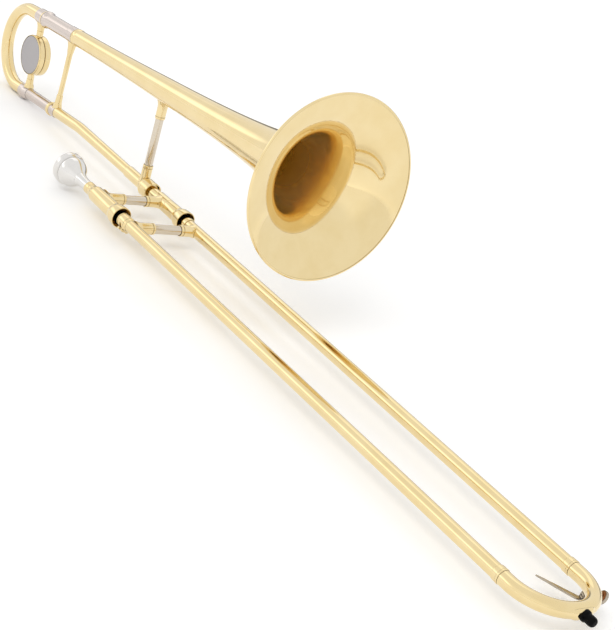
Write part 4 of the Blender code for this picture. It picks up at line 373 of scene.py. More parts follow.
def silver_finish(tree, shader):
    """Silver plate over turned brass: very bright, with faint rings from the lathe."""
    base = bpy.context.scene.trombone_finishes.silver
    # Lathe rings lie across X, about 0.4 mm apart
    place, rings = worked_metal(tree, shader, LEVEL, (2400.0, 12.0, 12.0), 3.0, 0.5)
    tarnish = add(tree, "ShaderNodeTexNoise", values={"Scale": 90.0, "Detail": 4.0}, links={"Vector": place})
    tint = add(tree, "ShaderNodeMix", data_type="RGBA",
               values={6: colour(base), 7: colour([v * 0.93 for v in base])}, links={0: tarnish.outputs[0]})
    worn = add(tree, "ShaderNodeMapRange", links={"Value": tarnish.outputs[0]},
               values={"From Min": 0.35, "From Max": 0.7, "To Min": 0.05, "To Max": 0.11})
    # Grooves darken to this grey within two millimetres of another face: painted shade, with tarnish
    finish_shader(tree, shader, tarnish_and_painted_shade(tree, tint, "#6e6a66", 0.002, 0.3, 0.9), worn, rings, 0.08, 0.00003)


def cork_finish(tree, shader):
    """Natural cork, cut and sanded: brown grains about a millimetre across with dark pores."""
    base = bpy.context.scene.trombone_finishes.cork
    shader.inputs["Specular IOR Level"].default_value = 0.25
    shader.inputs["Roughness"].default_value = 0.86
    place = add(tree, "ShaderNodeTexCoord").outputs["Object"]
    grains = add(tree, "ShaderNodeTexVoronoi", values={"Scale": 1100.0}, links={"Vector": place})
    pores = add(tree, "ShaderNodeTexNoise", values={"Scale": 700.0, "Detail": 5.0}, links={"Vector": place})
    blend = add(tree, "ShaderNodeMapRange", values={"From Min": 0.35, "From Max": 0.65},
                links={"Value": pores.outputs[0]})
    tint = add(tree, "ShaderNodeMix", data_type="RGBA", links={0: blend.outputs[0]},
               values={6: colour([v * 0.62 for v in base]), 7: colour([min(v * 1.12, 1) for v in base])})
    finish_shader(tree, shader, tint, None, grains.outputs[0], 0.5, 0.0001)


def rubber_finish(tree, shader):
    """Moulded black rubber: soft sheen, fine matte skin and slightly greyed scuffs."""
    base = bpy.context.scene.trombone_finishes.rubber
    shader.inputs["Specular IOR Level"].default_value = 0.08
    place = add(tree, "ShaderNodeTexCoord").outputs["Object"]
    skin = add(tree, "ShaderNodeTexNoise", values={"Scale": 1500.0, "Detail": 3.0}, links={"Vector": place})
    scuffs = add(tree, "ShaderNodeTexNoise", values={"Scale": 260.0, "Detail": 5.0, "Distortion": 0.6},
                 links={"Vector": place})
    grey = add(tree, "ShaderNodeMapRange", values={"From Min": 0.52, "From Max": 0.72},
               links={"Value": scuffs.outputs[0]})
    tint = add(tree, "ShaderNodeMix", data_type="RGBA",
               values={6: colour(base), 7: colour([v + 0.02 for v in base])}, links={0: grey.outputs[0]})
    sheen = add(tree, "ShaderNodeMapRange", values={"To Min": 0.42, "To Max": 0.62},
                links={"Value": scuffs.outputs[0]})
    finish_shader(tree, shader, tint, sheen, skin.outputs[0], 0.25, 0.00005)


def steel_finish(tree, shader):
    """Spring steel wire, drawn, with fine marks from the die; its dark colour is painted shade of the key's hinge."""
    shader.inputs["Metallic"].default_value = 1.0
    place = add(tree, "ShaderNodeTexCoord").outputs["Object"]
    marks = add(tree, "ShaderNodeTexNoise", values={"Scale": 1800.0, "Detail": 2.0}, links={"Vector": place})
    # Dark brown-grey colour: painted shade of the hinge where the spring sits
    tint = add(tree, "ShaderNodeMix", data_type="RGBA", values={6: colour("#3f3836"), 7: colour("#57504c")},
               links={0: marks.outputs[0]})
    worn = add(tree, "ShaderNodeMapRange", values={"To Min": 0.22, "To Max": 0.38},
               links={"Value": marks.outputs[0]})
    finish_shader(tree, shader, tint, worn)


# Finishes by kind: material, slot, how it is made, and the way the pattern is turned, its stretch,
# the roughness and the rest that the maker needs
LEVEL = (0.0, 0.0, 0.0)
TILT = (-BELL_LEAN, BELL_TILT, 0.0)
# Colour deep in the bell's throat: painted shade, in the tone of unlacquered brass
THROAT_SHADE_BRASS = (0.88, 0.71, 0.22)
FINISH_ROWS = {
    "tube brass": ("lacquered_brass_tube", "lacquered_brass", brass_finish, LEVEL, (90.0, 2000.0, 2000.0), 0.08),
    "bell brass": ("lacquered_brass_spun_bell", "lacquered_brass", brass_finish, TILT, (2000.0, 60.0, 60.0), 0.05,
                   True),
    "turned brass": ("lacquered_brass_turned", "lacquered_brass", brass_finish, LEVEL, (2000.0, 70.0, 70.0), 0.09),
    "nickel": ("nickel_silver_drawn", "nickel_silver", nickel_finish, LEVEL, (12.0, 700.0, 700.0), 0.19, "nickel"),
    "nickel leg": ("nickel_silver_leg", "nickel_silver", nickel_finish, TILT, (10.0, 600.0, 600.0), 0.2, "nickel"),
    "nickel brace": ("nickel_silver_brace", "nickel_silver", nickel_finish, LEVEL, (700.0, 12.0, 700.0), 0.13,
                     "nickel_brace"),
    # The water key's forged nickel is 0.84 times the brace colour: painted shade
    "nickel forged": ("nickel_silver_forged", "nickel_silver", nickel_finish, LEVEL, (40.0, 500.0, 500.0), 0.26,
                      "nickel_brace", 0.84),
    "weight face": ("steel_plate_ground", "nickel_silver", nickel_finish, TILT, (900.0, 60.0, 900.0), 0.34,
                    "steel_plate"),
    "silver": ("silver_plate_turned", "silver_plate", silver_finish),
    "cork": ("natural_cork_sanded", "cork", cork_finish),
    "rubber": ("moulded_black_rubber", "black_rubber", rubber_finish),
    "steel": ("blued_spring_steel", "spring_steel", steel_finish),
}
FINISHES_MADE = {}


def finish(kind):
    """The material of this kind, made once."""
    if kind not in FINISHES_MADE:
        name, _, maker, *values = FINISH_ROWS[kind]
        FINISHES_MADE[kind], tree, shader = new_material(name)
        maker(tree, shader, *values)
    return FINISHES_MADE[kind]


# Shape helpers

def dress(obj, body, *nodes):
    """Make a finished piece ride on its body and stand for the packed nodes."""
    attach(obj, body)
    if nodes:
        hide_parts(*nodes)


def linked(name, data):
    """Object at the origin with this mesh, lamp or camera."""
    obj = bpy.data.objects.new(name, data)
    bpy.context.scene.collection.objects.link(obj)
    return obj


def evaluated(obj):
    """Plain mesh of an object with its modifiers applied."""
    bpy.context.view_layer.update()
    return bpy.data.meshes.new_from_object(obj.evaluated_get(bpy.context.evaluated_depsgraph_get()))


def smooth(mesh, sharp=SHARP):
    """Shade a mesh smooth, but for edges sharper than this many degrees."""
    mesh.shade_smooth()
    mesh.set_sharp_from_angle(angle=math.radians(sharp))


def to_object(name, bm, kind, matrix, sharp=SHARP):
    """Mesh object at the origin from a bmesh in the frame of matrix."""
    bmesh.ops.remove_doubles(bm, verts=bm.verts, dist=MERGE)
    bmesh.ops.recalc_face_normals(bm, faces=bm.faces)
    mesh = bpy.data.meshes.new(name)
    bm.to_mesh(mesh)
    bm.free()
    mesh.transform(matrix)
    if kind is not None:
        mesh.materials.append(finish(kind))
    smooth(mesh, sharp)
    return linked(name, mesh)


def soften(outline, closed, radius):
    """Round the corners of an outline of (x, radius) points with short curves."""
    points = [Vector(p[:2]) for p in outline]
    if radius <= 0:
        return points
    sizes = [p[2] if len(p) > 2 else radius for p in outline]
    count = len(points)
    result = []
    for i, spot in enumerate(points):
        before = points[i - 1] - spot
        after = points[(i + 1) % count] - spot
        if (not closed and i in (0, count - 1)) or min(before.length, after.length) < 1e-7:
            result.append(spot)
            continue
        bend = math.pi - before.angle(after)
        size = min(sizes[i], before.length * 0.45, after.length * 0.45)
        if bend < math.radians(4) or size < 2e-6:
            result.append(spot)
            continue
        start = spot + before.normalized() * size
        end = spot + after.normalized() * size
        steps = 2 if bend < math.radians(25) else 4
        for k in range(steps + 1):
            t = k / steps
            result.append(start * (1 - t) ** 2 + spot * 2 * t * (1 - t) + end * t * t)
    return result


def turned(name, outline, matrix, kind, sides=None, closed=True, edge=None, sharp=SHARP):
    """Piece turned about its own X axis from (x, radius) points; closed=False starts and ends on the axis."""
    sizes = bpy.context.scene.trombone_tubes
    points = soften(outline, closed, sizes.edge if edge is None else edge)
    bm = bmesh.new()
    verts = [bm.verts.new((p.x, 0.0, max(p.y, 0.0))) for p in points]
    edges = [bm.edges.new(pair) for pair in zip(verts[:-1], verts[1:])]
    if closed:
        edges.append(bm.edges.new((verts[-1], verts[0])))
    bmesh.ops.spin(bm, geom=verts + edges, axis=(1, 0, 0), cent=(0, 0, 0), angle=2 * math.pi,
                   steps=sides or sizes.turned_sides, use_merge=True)
    return to_object(name, bm, kind, matrix, sharp)


def turned_piece(name, body, node, outline, matrix, kind, sides=None, closed=True, edge=None):
    """Turned piece that stands for one packed node."""
    dress(turned(name, outline, matrix, kind, sides, closed, edge), body, node)


def cutter(outline, matrix, sides=96, edge=0.0):
    """Turned tool, solid from its axis out; its outline's first and last points are put on the axis."""
    outline = [(outline[0][0], 0.0), *outline, (outline[-1][0], 0.0)]
    return turned("tool", outline, matrix, None, sides, False, edge)


def tube_outline(start, end, bore, radius):
    return [(start, bore, FINE), (start, radius), (end, radius), (end, bore, FINE)]


def rod_outline(start, end, radius):
    return [(start, 0.0), (start, radius), (end, radius), (end, 0.0)]


def box_tool(low, high, matrix, rounding=0.0, kind=None, name="tool"):
    """Box between two corners in the frame of matrix, with rounded edges."""
    bm = bmesh.new()
    size = Vector(high) - Vector(low)
    middle = (Vector(high) + Vector(low)) / 2
    bmesh.ops.create_cube(bm, size=1.0, matrix=Matrix.Translation(middle) @ Matrix.Diagonal((*size, 1.0)))
    if rounding > 0:
        bmesh.ops.bevel(bm, geom=bm.edges[:], offset=rounding, segments=3, affect="EDGES")
    return to_object(name, bm, kind, matrix)


def carve(obj, join=(), cut=(), sharp=SHARP):
    """Join tools to obj, cut others out of it, keep the result as its mesh, and delete the tools."""
    for operation, tools in (("UNION", join), ("DIFFERENCE", cut)):
        for tool in tools:
            step = obj.modifiers.new(operation.title(), "BOOLEAN")
            step.operation = operation
            step.solver = "EXACT"
            step.object = tool
    baked = evaluated(obj)
    obj.modifiers.clear()
    old = obj.data
    obj.data = baked
    bpy.data.meshes.remove(old)
    baked.name = obj.name
    for tool in (*join, *cut):
        bpy.data.objects.remove(tool, do_unlink=True)
    bm = bmesh.new()
    bm.from_mesh(baked)
    bmesh.ops.remove_doubles(bm, verts=bm.verts, dist=CARVED_MERGE)
    bmesh.ops.dissolve_degenerate(bm, edges=bm.edges, dist=CARVED_MERGE / 2)
    bm.to_mesh(baked)
    bm.free()
    smooth(baked, sharp)
    while len(baked.materials) > 1:
        baked.materials.pop()
    return obj


# Geometry Nodes trees

def socket(tree, name, kind, default=None, low=None, high=None):
    """Add a named input to a tree's interface."""
    item = tree.interface.new_socket(name=name, in_out="INPUT", socket_type=kind)
    if low is not None:
        item.min_value = low
    if high is not None:
        item.max_value = high
    if default is not None:
        item.default_value = default
    return item


def end_tree(tree, geometry, material):
    """Realize Instances, Set Material and the tree's output."""
    real = add(tree, "GeometryNodeRealizeInstances", links={"Geometry": geometry})
    smooth = add(tree, "GeometryNodeSetShadeSmooth", links={"Geometry": real.outputs[0]})
    painted = add(tree, "GeometryNodeSetMaterial", links={"Geometry": smooth.outputs[0], "Material": material})
    tree.interface.new_socket(name="Geometry", in_out="OUTPUT", socket_type="NodeSocketGeometry")
    add(tree, "NodeGroupOutput", links={0: painted.outputs[0]})


def pipe_tree():
    """Round pipe along a chain of points, as wide at each point as its pipe_radius."""
    if "Pipe Along Path" in bpy.data.node_groups:
        return bpy.data.node_groups["Pipe Along Path"]
    tree = bpy.data.node_groups.new("Pipe Along Path", "GeometryNodeTree")
    tree.is_modifier = True
    socket(tree, "Path", "NodeSocketGeometry")
    socket(tree, "Sides", "NodeSocketInt", 64, 3, 256)
    socket(tree, "Swell", "NodeSocketFloat", 1.0, 0.5, 2.0)
    socket(tree, "Closed Ends", "NodeSocketBool", False)
    socket(tree, "Finish", "NodeSocketMaterial")
    given = add(tree, "NodeGroupInput").outputs
    curve = add(tree, "GeometryNodeMeshToCurve", links={"Mesh": given["Path"]})
    radius = add(tree, "GeometryNodeInputNamedAttribute", data_type="FLOAT", values={"Name": "pipe_radius"})
    scale = add(tree, "ShaderNodeMath", operation="MULTIPLY", links={0: radius.outputs[0], 1: given["Swell"]})
    ring = add(tree, "GeometryNodeCurvePrimitiveCircle", values={"Radius": 1.0},
               links={"Resolution": given["Sides"]})
    skin = add(tree, "GeometryNodeCurveToMesh",
               links={"Curve": curve.outputs[0], "Profile Curve": ring.outputs[0], "Scale": scale.outputs[0],
                      "Fill Caps": given["Closed Ends"]})
    end_tree(tree, skin.outputs[0], given["Finish"])
    return tree


def bell_tree():
    """Skin of the bell as rings on its axis: a slow stem, then a flare that opens by a power law."""
    if "Bell Flare" in bpy.data.node_groups:
        return bpy.data.node_groups["Bell Flare"]
    tree = bpy.data.node_groups.new("Bell Flare", "GeometryNodeTree")
    tree.is_modifier = True
    socket(tree, "Geometry", "NodeSocketGeometry")
    socket(tree, "Stem Rings", "NodeSocketInt", 40, 2, 400)
    socket(tree, "Flare Rings", "NodeSocketInt", 110, 2, 400)
    socket(tree, "Sides", "NodeSocketInt", 192, 12, 512)
    for name, default in (("Tail Station", BELL_TAIL_STATION), ("Tail Radius", 0.0094), ("Tail Taper", TAIL_TAPER),
                          ("Flare Start", FLARE_START), ("Rim Station", BELL_RIM_STATION),
                          ("Rim Radius", 0.097), ("Edge Radius", 0.0947), ("Flare Scale", 0.0124),
                          ("Flare Power", 0.6)):
        socket(tree, name, "NodeSocketFloat", default)
    socket(tree, "Finish", "NodeSocketMaterial")
    given = add(tree, "NodeGroupInput").outputs

    # Sums of the skin, one row each: name, operation, and two names or numbers.
    # The flare's radius is rim * (scale / (scale + rim station - x)) ** power. Its rings grow by equal
    # ratios and their stations follow from the radius. The stem is a straight taper that speeds up
    # with the square of the way along it.
    found = {name: given[name] for name in given.keys() if name not in ("Geometry", "Finish")}
    found["index"] = add(tree, "GeometryNodeInputIndex").outputs[0]
    for name, operation, *parts in (
            ("last ring", "ADD", "Stem Rings", "Flare Rings"), ("count", "ADD", "last ring", 1.0),
            ("stem", "DIVIDE", "index", "Stem Rings"), ("past stem", "SUBTRACT", "index", "Stem Rings"),
            ("flare", "DIVIDE", "past stem", "Flare Rings"),
            ("span", "SUBTRACT", "Rim Station", "Flare Start"), ("reach", "ADD", "Flare Scale", "span"),
            ("narrowing", "DIVIDE", "Flare Scale", "reach"), ("share", "POWER", "narrowing", "Flare Power"),
            ("first", "MULTIPLY", "Rim Radius", "share"), ("length", "SUBTRACT", "Flare Start", "Tail Station"),
            ("taper", "MULTIPLY", "Tail Taper", "length"), ("widening", "SUBTRACT", "first", "Tail Radius"),
            ("rise", "SUBTRACT", "widening", "taper"), ("square", "MULTIPLY", "stem", "stem"),
            ("curved", "MULTIPLY", "rise", "square"), ("straight", "MULTIPLY", "taper", "stem"),
            ("gain", "ADD", "straight", "curved"), ("stem radius", "ADD", "Tail Radius", "gain"),
            ("way", "MULTIPLY", "length", "stem"), ("stem x", "ADD", "Tail Station", "way"),
            ("opening", "DIVIDE", "Edge Radius", "first"), ("growth", "POWER", "opening", "flare"),
            ("flare radius", "MULTIPLY", "first", "growth"),
            ("from rim", "DIVIDE", "Rim Radius", "flare radius"), ("root", "DIVIDE", 1.0, "Flare Power"),
            ("ratio", "POWER", "from rim", "root"), ("excess", "SUBTRACT", "ratio", 1.0),
            ("back", "MULTIPLY", "Flare Scale", "excess"), ("flare x", "SUBTRACT", "Rim Station", "back"),
            ("in flare", "GREATER_THAN", "index", "Stem Rings")):
        node = add(tree, "ShaderNodeMath", operation=operation, use_clamp=name in ("stem", "flare"))
        for place, part in enumerate(parts):
            if isinstance(part, str):
                tree.links.new(found[part], node.inputs[place])
            else:
                node.inputs[place].default_value = part
        found[name] = node.outputs[0]
    line = add(tree, "GeometryNodeMeshLine", links={"Count": found["count"]}, values={"Offset": (0.001, 0, 0)})
    x = add(tree, "ShaderNodeMix", data_type="FLOAT",
            links={0: found["in flare"], 2: found["stem x"], 3: found["flare x"]})
    wide = add(tree, "ShaderNodeMix", data_type="FLOAT",
               links={0: found["in flare"], 2: found["stem radius"], 3: found["flare radius"]})
    spot = add(tree, "ShaderNodeCombineXYZ", links={"X": x.outputs[0]})
    placed = add(tree, "GeometryNodeSetPosition", links={"Geometry": line.outputs[0], "Position": spot.outputs[0]})
    radius = add(tree, "GeometryNodeStoreNamedAttribute", data_type="FLOAT", domain="POINT",
                 values={"Name": "ring_radius"},
                 links={"Geometry": placed.outputs[0], "Value": wide.outputs[0]})
    curve = add(tree, "GeometryNodeMeshToCurve", links={"Mesh": radius.outputs[0]})
    wide = add(tree, "GeometryNodeInputNamedAttribute", data_type="FLOAT", values={"Name": "ring_radius"})
    ring = add(tree, "GeometryNodeCurvePrimitiveCircle", values={"Radius": 1.0},
               links={"Resolution": given["Sides"]})
    skin = add(tree, "GeometryNodeCurveToMesh",
               links={"Curve": curve.outputs[0], "Profile Curve": ring.outputs[0], "Scale": wide.outputs[0]})
    end_tree(tree, skin.outputs[0], given["Finish"])
    return tree


def set_inputs(modifier, values):
    """Set a modifier's inputs by their names in the tree's interface."""
    for item in modifier.node_group.interface.items_tree:
        if item.item_type == "SOCKET" and item.in_out == "INPUT" and item.name in values:
            modifier[item.identifier] = values[item.name]


def points_object(name, points, radii=None):
    """Chain of points as a mesh, with each point's pipe_radius."""
    mesh = bpy.data.meshes.new(name)
    mesh.from_pydata([tuple(p) for p in points], [(i, i + 1) for i in range(len(points) - 1)], [])
    if radii is not None:
        store = mesh.attributes.new("pipe_radius", "FLOAT", "POINT")
        store.data.foreach_set("value", radii)
    return linked(name, mesh)


def grow(name, obj, tree, values, matrix, kind, wall=0.0):
    """Evaluate a tree on obj and return the result as a plain mesh object with a wall."""
    step = obj.modifiers.new("Shape", "NODES")
    step.node_group = tree
    set_inputs(step, {**values, "Finish": finish(kind)})
    mesh = evaluated(obj)
    bpy.data.objects.remove(obj, do_unlink=True)
    bm = bmesh.new()
    bm.from_mesh(mesh)
    bmesh.ops.remove_doubles(bm, verts=bm.verts, dist=MERGE)
    bmesh.ops.recalc_face_normals(bm, faces=bm.faces)
    # The volume under an open skin still tells whether its faces look outward.
    if bm.calc_volume(signed=True) < 0:
        bmesh.ops.reverse_faces(bm, faces=bm.faces)
    bm.to_mesh(mesh)
    bm.free()
    mesh.name = name
    mesh.materials.clear()
    mesh.materials.append(finish(kind))
    result = linked(name, mesh)
    if wall > 0:
        thick = result.modifiers.new("Wall", "SOLIDIFY")
        thick.thickness = wall
        thick.offset = -1.0
        thick.use_even_offset = True
        thick.use_rim = True
        result.data = evaluated(result)
        result.modifiers.clear()
        bpy.data.meshes.remove(mesh)
        result.data.name = name
    result.data.transform(matrix)
    smooth(result.data)
    return result


def pipe(name, path, radii, matrix, kind, wall=0.0, closed=False, sides=None):
    """Pipe along points, open with a wall or closed and solid."""
    sizes = bpy.context.scene.trombone_tubes
    source = points_object(name + "_path", path, radii)
    return grow(name, source, pipe_tree(), {"Sides": sides or sizes.sides, "Closed Ends": closed},
                matrix, kind, wall)


# Brace sockets

def rod_cutter(start, end, radius, matrix, sides=96, edge=0.0):
    """Tool that is a plain rod."""
    return cutter([(start, radius), (end, radius)], matrix, sides, edge)


def socket_outline(tube_radius, length, flare=0.93, spread=0.0013, rise=0.004, barrel=SOCKET_RADIUS):
    """Brace socket from inside the tube it stands on, swelling to a flange where it meets the tube."""
    foot = tube_radius * 0.5
    wide = tube_radius * flare + spread
    top = tube_radius + rise
    outline = [(foot, 0.0), (foot, wide)]
    for k in range(1, 10):
        part = 0.3 + 0.7 * k / 10
        outline.append((foot + (top - foot) * part, barrel + (wide - barrel) * (1 - part) ** 2 * 1.05, 0.0))
    outline.append((top, barrel, 0.0))
    return outline + socket_mouth(tube_radius + length, barrel)


def socket_mouth(end, barrel):
    """Mouth of a socket: a fine groove, then a low bead with a rounded edge."""
    groove = barrel - 0.00045
    return [(end - 0.0036, barrel, 0.0), (end - 0.0034, groove, 0.0), (end - 0.0027, groove, 0.0),
            (end - 0.0025, barrel + 0.00008, 0.0), (end - 0.0005, barrel + 0.0001), (end, barrel - 0.0003), (end, 0.0)]


def socket_bore(start, end, brace_radius, matrix):
    """Tool for a socket's bore, opened a little at its mouth, where a thin dark ring shows round the brace."""
    bore = brace_radius + PLAY
    opened = brace_radius + 0.0005
    return cutter([(start, bore), (end - 0.0008, bore), (end - 0.0006, opened), (end + 0.002, opened)], matrix)


def brace_socket(name, node, body, tube_radius, length, tube_matrix, turn, join=(), cut=()):
    """Socket seated on a round tube and bored for the brace tube, with more tools joined and cut."""
    matrix = tube_matrix @ turn
    obj = turned(name, socket_outline(tube_radius, length), matrix, "turned brass", closed=False)
    cover = rod_cutter(-0.016, 0.016, tube_radius + SOLDER, tube_matrix)
    bore = socket_bore(tube_radius + BORE_FLOOR, tube_radius + length, BRACE_RADIUS, matrix)
    carve(obj, join, (*cut, cover, bore))
    dress(obj, body, node)


def brace(name, body, start, end, matrix, radius=BRACE_RADIUS):
    """Nickel silver brace tube that reaches from its first socket's mouth to its second one's."""
    seat = 0.008
    turned_piece(name, body, name, tube_outline(-seat, end - start + seat, radius - 0.0006, radius),
                 matrix @ Matrix.Translation((start, 0, 0)), "nickel brace")


# Inner slide

def make_mouthpiece():
    start = RECEIVER_START
    head = start - 0.0542
    rim = 0.0187
    cup = 0.0127
    throat = head + 0.022
    tip = start + 0.022
    top = 0.00575
    turned_piece("mouthpiece_silver", "mouthpiece", "mouthpiece", [
        (head + 0.0002, rim - 0.0032, 0.0008), (head + 0.0008, rim - 0.001, 0.0008), (head + 0.0026, rim, 0.001),
        (head + 0.0076, rim - 0.0001, 0.0005), (head + 0.0084, rim - 0.0015, 0.0004),
        (head + 0.0092, rim - 0.0026, 0.0004), (head + 0.0104, rim - 0.0025, 0.0004),
        (head + 0.0112, rim - 0.0019, 0.0005), (head + 0.014, rim - 0.0017, 0.0014),
        (head + 0.0175, rim - 0.0024, 0.0022), (head + 0.0215, rim - 0.0042, 0.0026),
        (head + 0.0255, rim - 0.0067, 0.0026), (head + 0.029, rim - 0.0092, 0.0022),
        (start - 0.0222, top + 0.0024, 0.001), (start - 0.0214, top + 0.0018, 0.0003),
        (start - 0.0206, top + 0.002, 0.0003), (start - 0.0186, top + 0.0014, 0.001),
        (start - 0.012, top + 0.0008, 0.002), (start - 0.006, top + 0.0005, 0.0015),
        (start - 0.003, top + 0.0003, 0.001), (start - 0.0012, top + 0.0003, 0.0003), (start - 0.0008, top, 0.0003),
        (tip, 0.0052), (tip, 0.0044), (throat + 0.005, 0.003, 0.001), (throat, 0.003, 0.001),
        (throat - 0.002, 0.0041, 0.0008), (throat - 0.006, cup * 0.62, 0.002),
        (throat - 0.0115, cup * 0.87, 0.003), (head + 0.004, cup, 0.0015), (head + 0.0012, cup + 0.0004, 0.0008),
        (head, cup + 0.0018, 0.0012)], MOUTH, "silver", 128)


def make_receiver():
    start = RECEIVER_START
    collar = 0.0069
    groove = collar - 0.0003
    bore = 0.0062
    cone = -0.068
    sheath = -0.058
    turned_piece("mouthpiece_receiver_cone", "inner_slide", "mouthpiece_receiver", [
        (start, bore, FINE), (start, collar), (start + 0.0012, collar), (start + 0.0016, groove, FINE),
        (start + 0.002, groove, FINE), (start + 0.0023, collar, FINE), (cone - 0.0016, collar, 0.0002),
        (cone - 0.0013, groove, FINE), (cone - 0.001, groove, FINE), (cone - 0.0006, collar, 0.0002),
        (cone + 0.0035, collar + 0.0004, 0.002), (cone + 0.0075, UPPER_SHEATH_RADIUS - 0.0006, 0.0015),
        (sheath - 0.0004, UPPER_SHEATH_RADIUS, 0.0004), (sheath, UPPER_SHEATH_RADIUS - 0.0001),
        (sheath, bore, FINE)], MOUTH, "turned brass")
    turned_piece("upper_sheath", "inner_slide", "receiver_sheath",
                 tube_outline(sheath, -BARREL_LENGTH, UPPER_SHEATH_RADIUS - SHEATH_WALL, UPPER_SHEATH_RADIUS), MOUTH,
                 "tube brass", edge=FINE)


def make_inner_tubes():
    end = INNER_TUBE_REACH
    stocking = end - 0.105
    for name, start, matrix in (("inner_slide_tube_upper", -0.053, MOUTH),
                                ("inner_slide_tube_lower", -0.065, SLIDE)):
        turned_piece(name + "_bright", "inner_slide", name, [
            (start, INNER_TUBE_BORE, FINE), (start, INNER_TUBE_RADIUS, FINE), (stocking, INNER_TUBE_RADIUS, 0.0005),
            (stocking + 0.003, STOCKING_RADIUS, 0.0005), (end - 0.001, STOCKING_RADIUS, 0.0003),
            (end, STOCKING_RADIUS - 0.00015, FINE), (end, INNER_TUBE_BORE, FINE)],
                     matrix, "nickel", bpy.context.scene.trombone_tubes.sides)


def barrel_outline(sheath_radius):
    start = -BARREL_LENGTH
    tail = sheath_radius + 0.0003
    bore = sheath_radius - 0.0005
    hole = 0.0106
    return [
        (start, bore, FINE), (start, tail, 0.0002), (start + 0.0012, tail + 0.0001, 0.0008),
        (start + 0.003, (tail + 0.0114) / 2 - 0.0002, 0.0015), (start + 0.0058, 0.0113, 0.0018),
        (start + 0.01, 0.0116, 0.002), (-0.003, 0.0118, 0.001), (-0.0004, 0.0118, 0.0004),
        (0.0, 0.0114, 0.0003), (0.0, hole + 0.0002, 0.0003), (-0.0006, hole, 0.0003),
        (-0.0125, hole, 0.0008), (-0.0145, bore, 0.0006)]


def make_barrels():
    upper, lower = [turned(f"cork_barrel_{side}_turned", barrel_outline(radius), matrix, "turned brass", 112)
                    for side, radius, matrix in BARRELS]
    hook_turn = MOUTH @ Matrix.Rotation(LOCK_LUG_ANGLE + LOCK_THROW, 4, "X")
    half = 0.0016
    arm = box_tool((-0.0062, 0.01085, -half), (0.0131, 0.0123, half), hook_turn, 0.0003)
    toe = box_tool((0.0101, 0.00885, -half), (0.0131, 0.0112, half), hook_turn, 0.0002)
    carve(upper, (arm, toe))
    dress(upper, "inner_slide", "cork_barrel_upper")
    dress(lower, "inner_slide", "cork_barrel_lower")
    end = -0.0163
    for side, radius, matrix in BARRELS:
        name = "barrel_cork_" + side
        turned_piece(name + "_ring", "inner_slide", name,
                     tube_outline(end - 0.007, end, INNER_TUBE_RADIUS + SEAT, radius - 0.0008), matrix, "cork")


def make_tenon():
    t_end = -0.037
    t_start = -0.06
    step = -0.0262
    passage = 0.0074
    cork_room = 0.0083
    turned_piece("lower_sheath_tube", "inner_slide", "lower_sheath", [
        (t_end, passage, FINE), (t_end, LOWER_SHEATH_RADIUS, 0.0002), (step, LOWER_SHEATH_RADIUS, 0.0),
        (step, LOWER_SHEATH_RADIUS + 0.0001, 0.0), (-BARREL_LENGTH, LOWER_SHEATH_RADIUS + 0.0001),
        (-BARREL_LENGTH, cork_room, FINE), (-0.0317, cork_room, 0.0002), (-0.0327, passage, 0.0002)],
                 SLIDE, "tube brass", edge=FINE)
    # Thread on the collar, drawn as rings
    start = -0.0847
    end = -0.0785
    turns = 6
    pitch = (end - start) / turns
    thread = [(start + pitch * (k + part), radius, FINE) for k in range(turns)
              for part, radius in ((0.08, 0.0088), (0.4, 0.0091), (0.6, 0.0091), (0.92, 0.0088))]
    tail = -0.1211
    shoulder = -0.033
    inner_step = -0.0655
    turned_piece("slide_tenon_threaded", "inner_slide", "slide_tenon", [
        (tail, 0.0052, FINE), (tail, 0.0058, FINE), (start, 0.0062, FINE), *thread, (end, 0.0071, FINE),
        (shoulder, 0.0071, FINE), (shoulder, 0.0063, FINE), (inner_step, 0.0063, FINE),
        (inner_step, INNER_TUBE_BORE, FINE), (end, INNER_TUBE_BORE, FINE), (start, 0.0052, FINE)],
                 SLIDE, "turned brass")
    collar = turned("t_collar", [
        (t_start, 0.0), (t_start, T_COLLAR_RADIUS - 0.0004, 0.0002), (t_start + 0.0004, T_COLLAR_RADIUS, 0.0002),
        (t_end - 0.0009, T_COLLAR_RADIUS, 0.0002), (t_end - 0.0002, T_COLLAR_RADIUS - 0.0006, 0.0002),
        (t_end - 0.0002, 0.0)], SLIDE, "turned brass", 96, False)
    stub_frame = SLIDE @ Matrix.Translation((INNER_BRACE_X, 0, 0)) @ TO_MOUTHPIECE_SIDE
    stub = turned("tool", socket_outline(T_COLLAR_RADIUS, T_STUB_LENGTH, 0.66, 0.002, 0.005), stub_frame, None, 80,
                  False)
    bore = rod_cutter(t_start - 0.002, t_end + 0.002, 0.0072, SLIDE)
    hole = socket_bore(T_COLLAR_RADIUS + BORE_FLOOR, T_COLLAR_RADIUS + T_STUB_LENGTH, BRACE_RADIUS, stub_frame)
    carve(collar, (stub,), (bore, hole))
    dress(collar, "inner_slide", "inner_brace_socket_lower")


def make_inner_brace():
    name = "inner_brace_socket_upper"
    length = 0.021
    tube_frame = MOUTH @ Matrix.Translation((INNER_BRACE_X, 0, 0))
    brace_socket(name, name, "inner_slide", UPPER_SHEATH_RADIUS, length, tube_frame, TO_BELL_SIDE)
    brace("inner_brace_tube", "inner_slide", UPPER_SHEATH_RADIUS + length,
          SLIDE_SPACING - T_COLLAR_RADIUS - T_STUB_LENGTH, tube_frame @ TO_BELL_SIDE)


# Outer slide

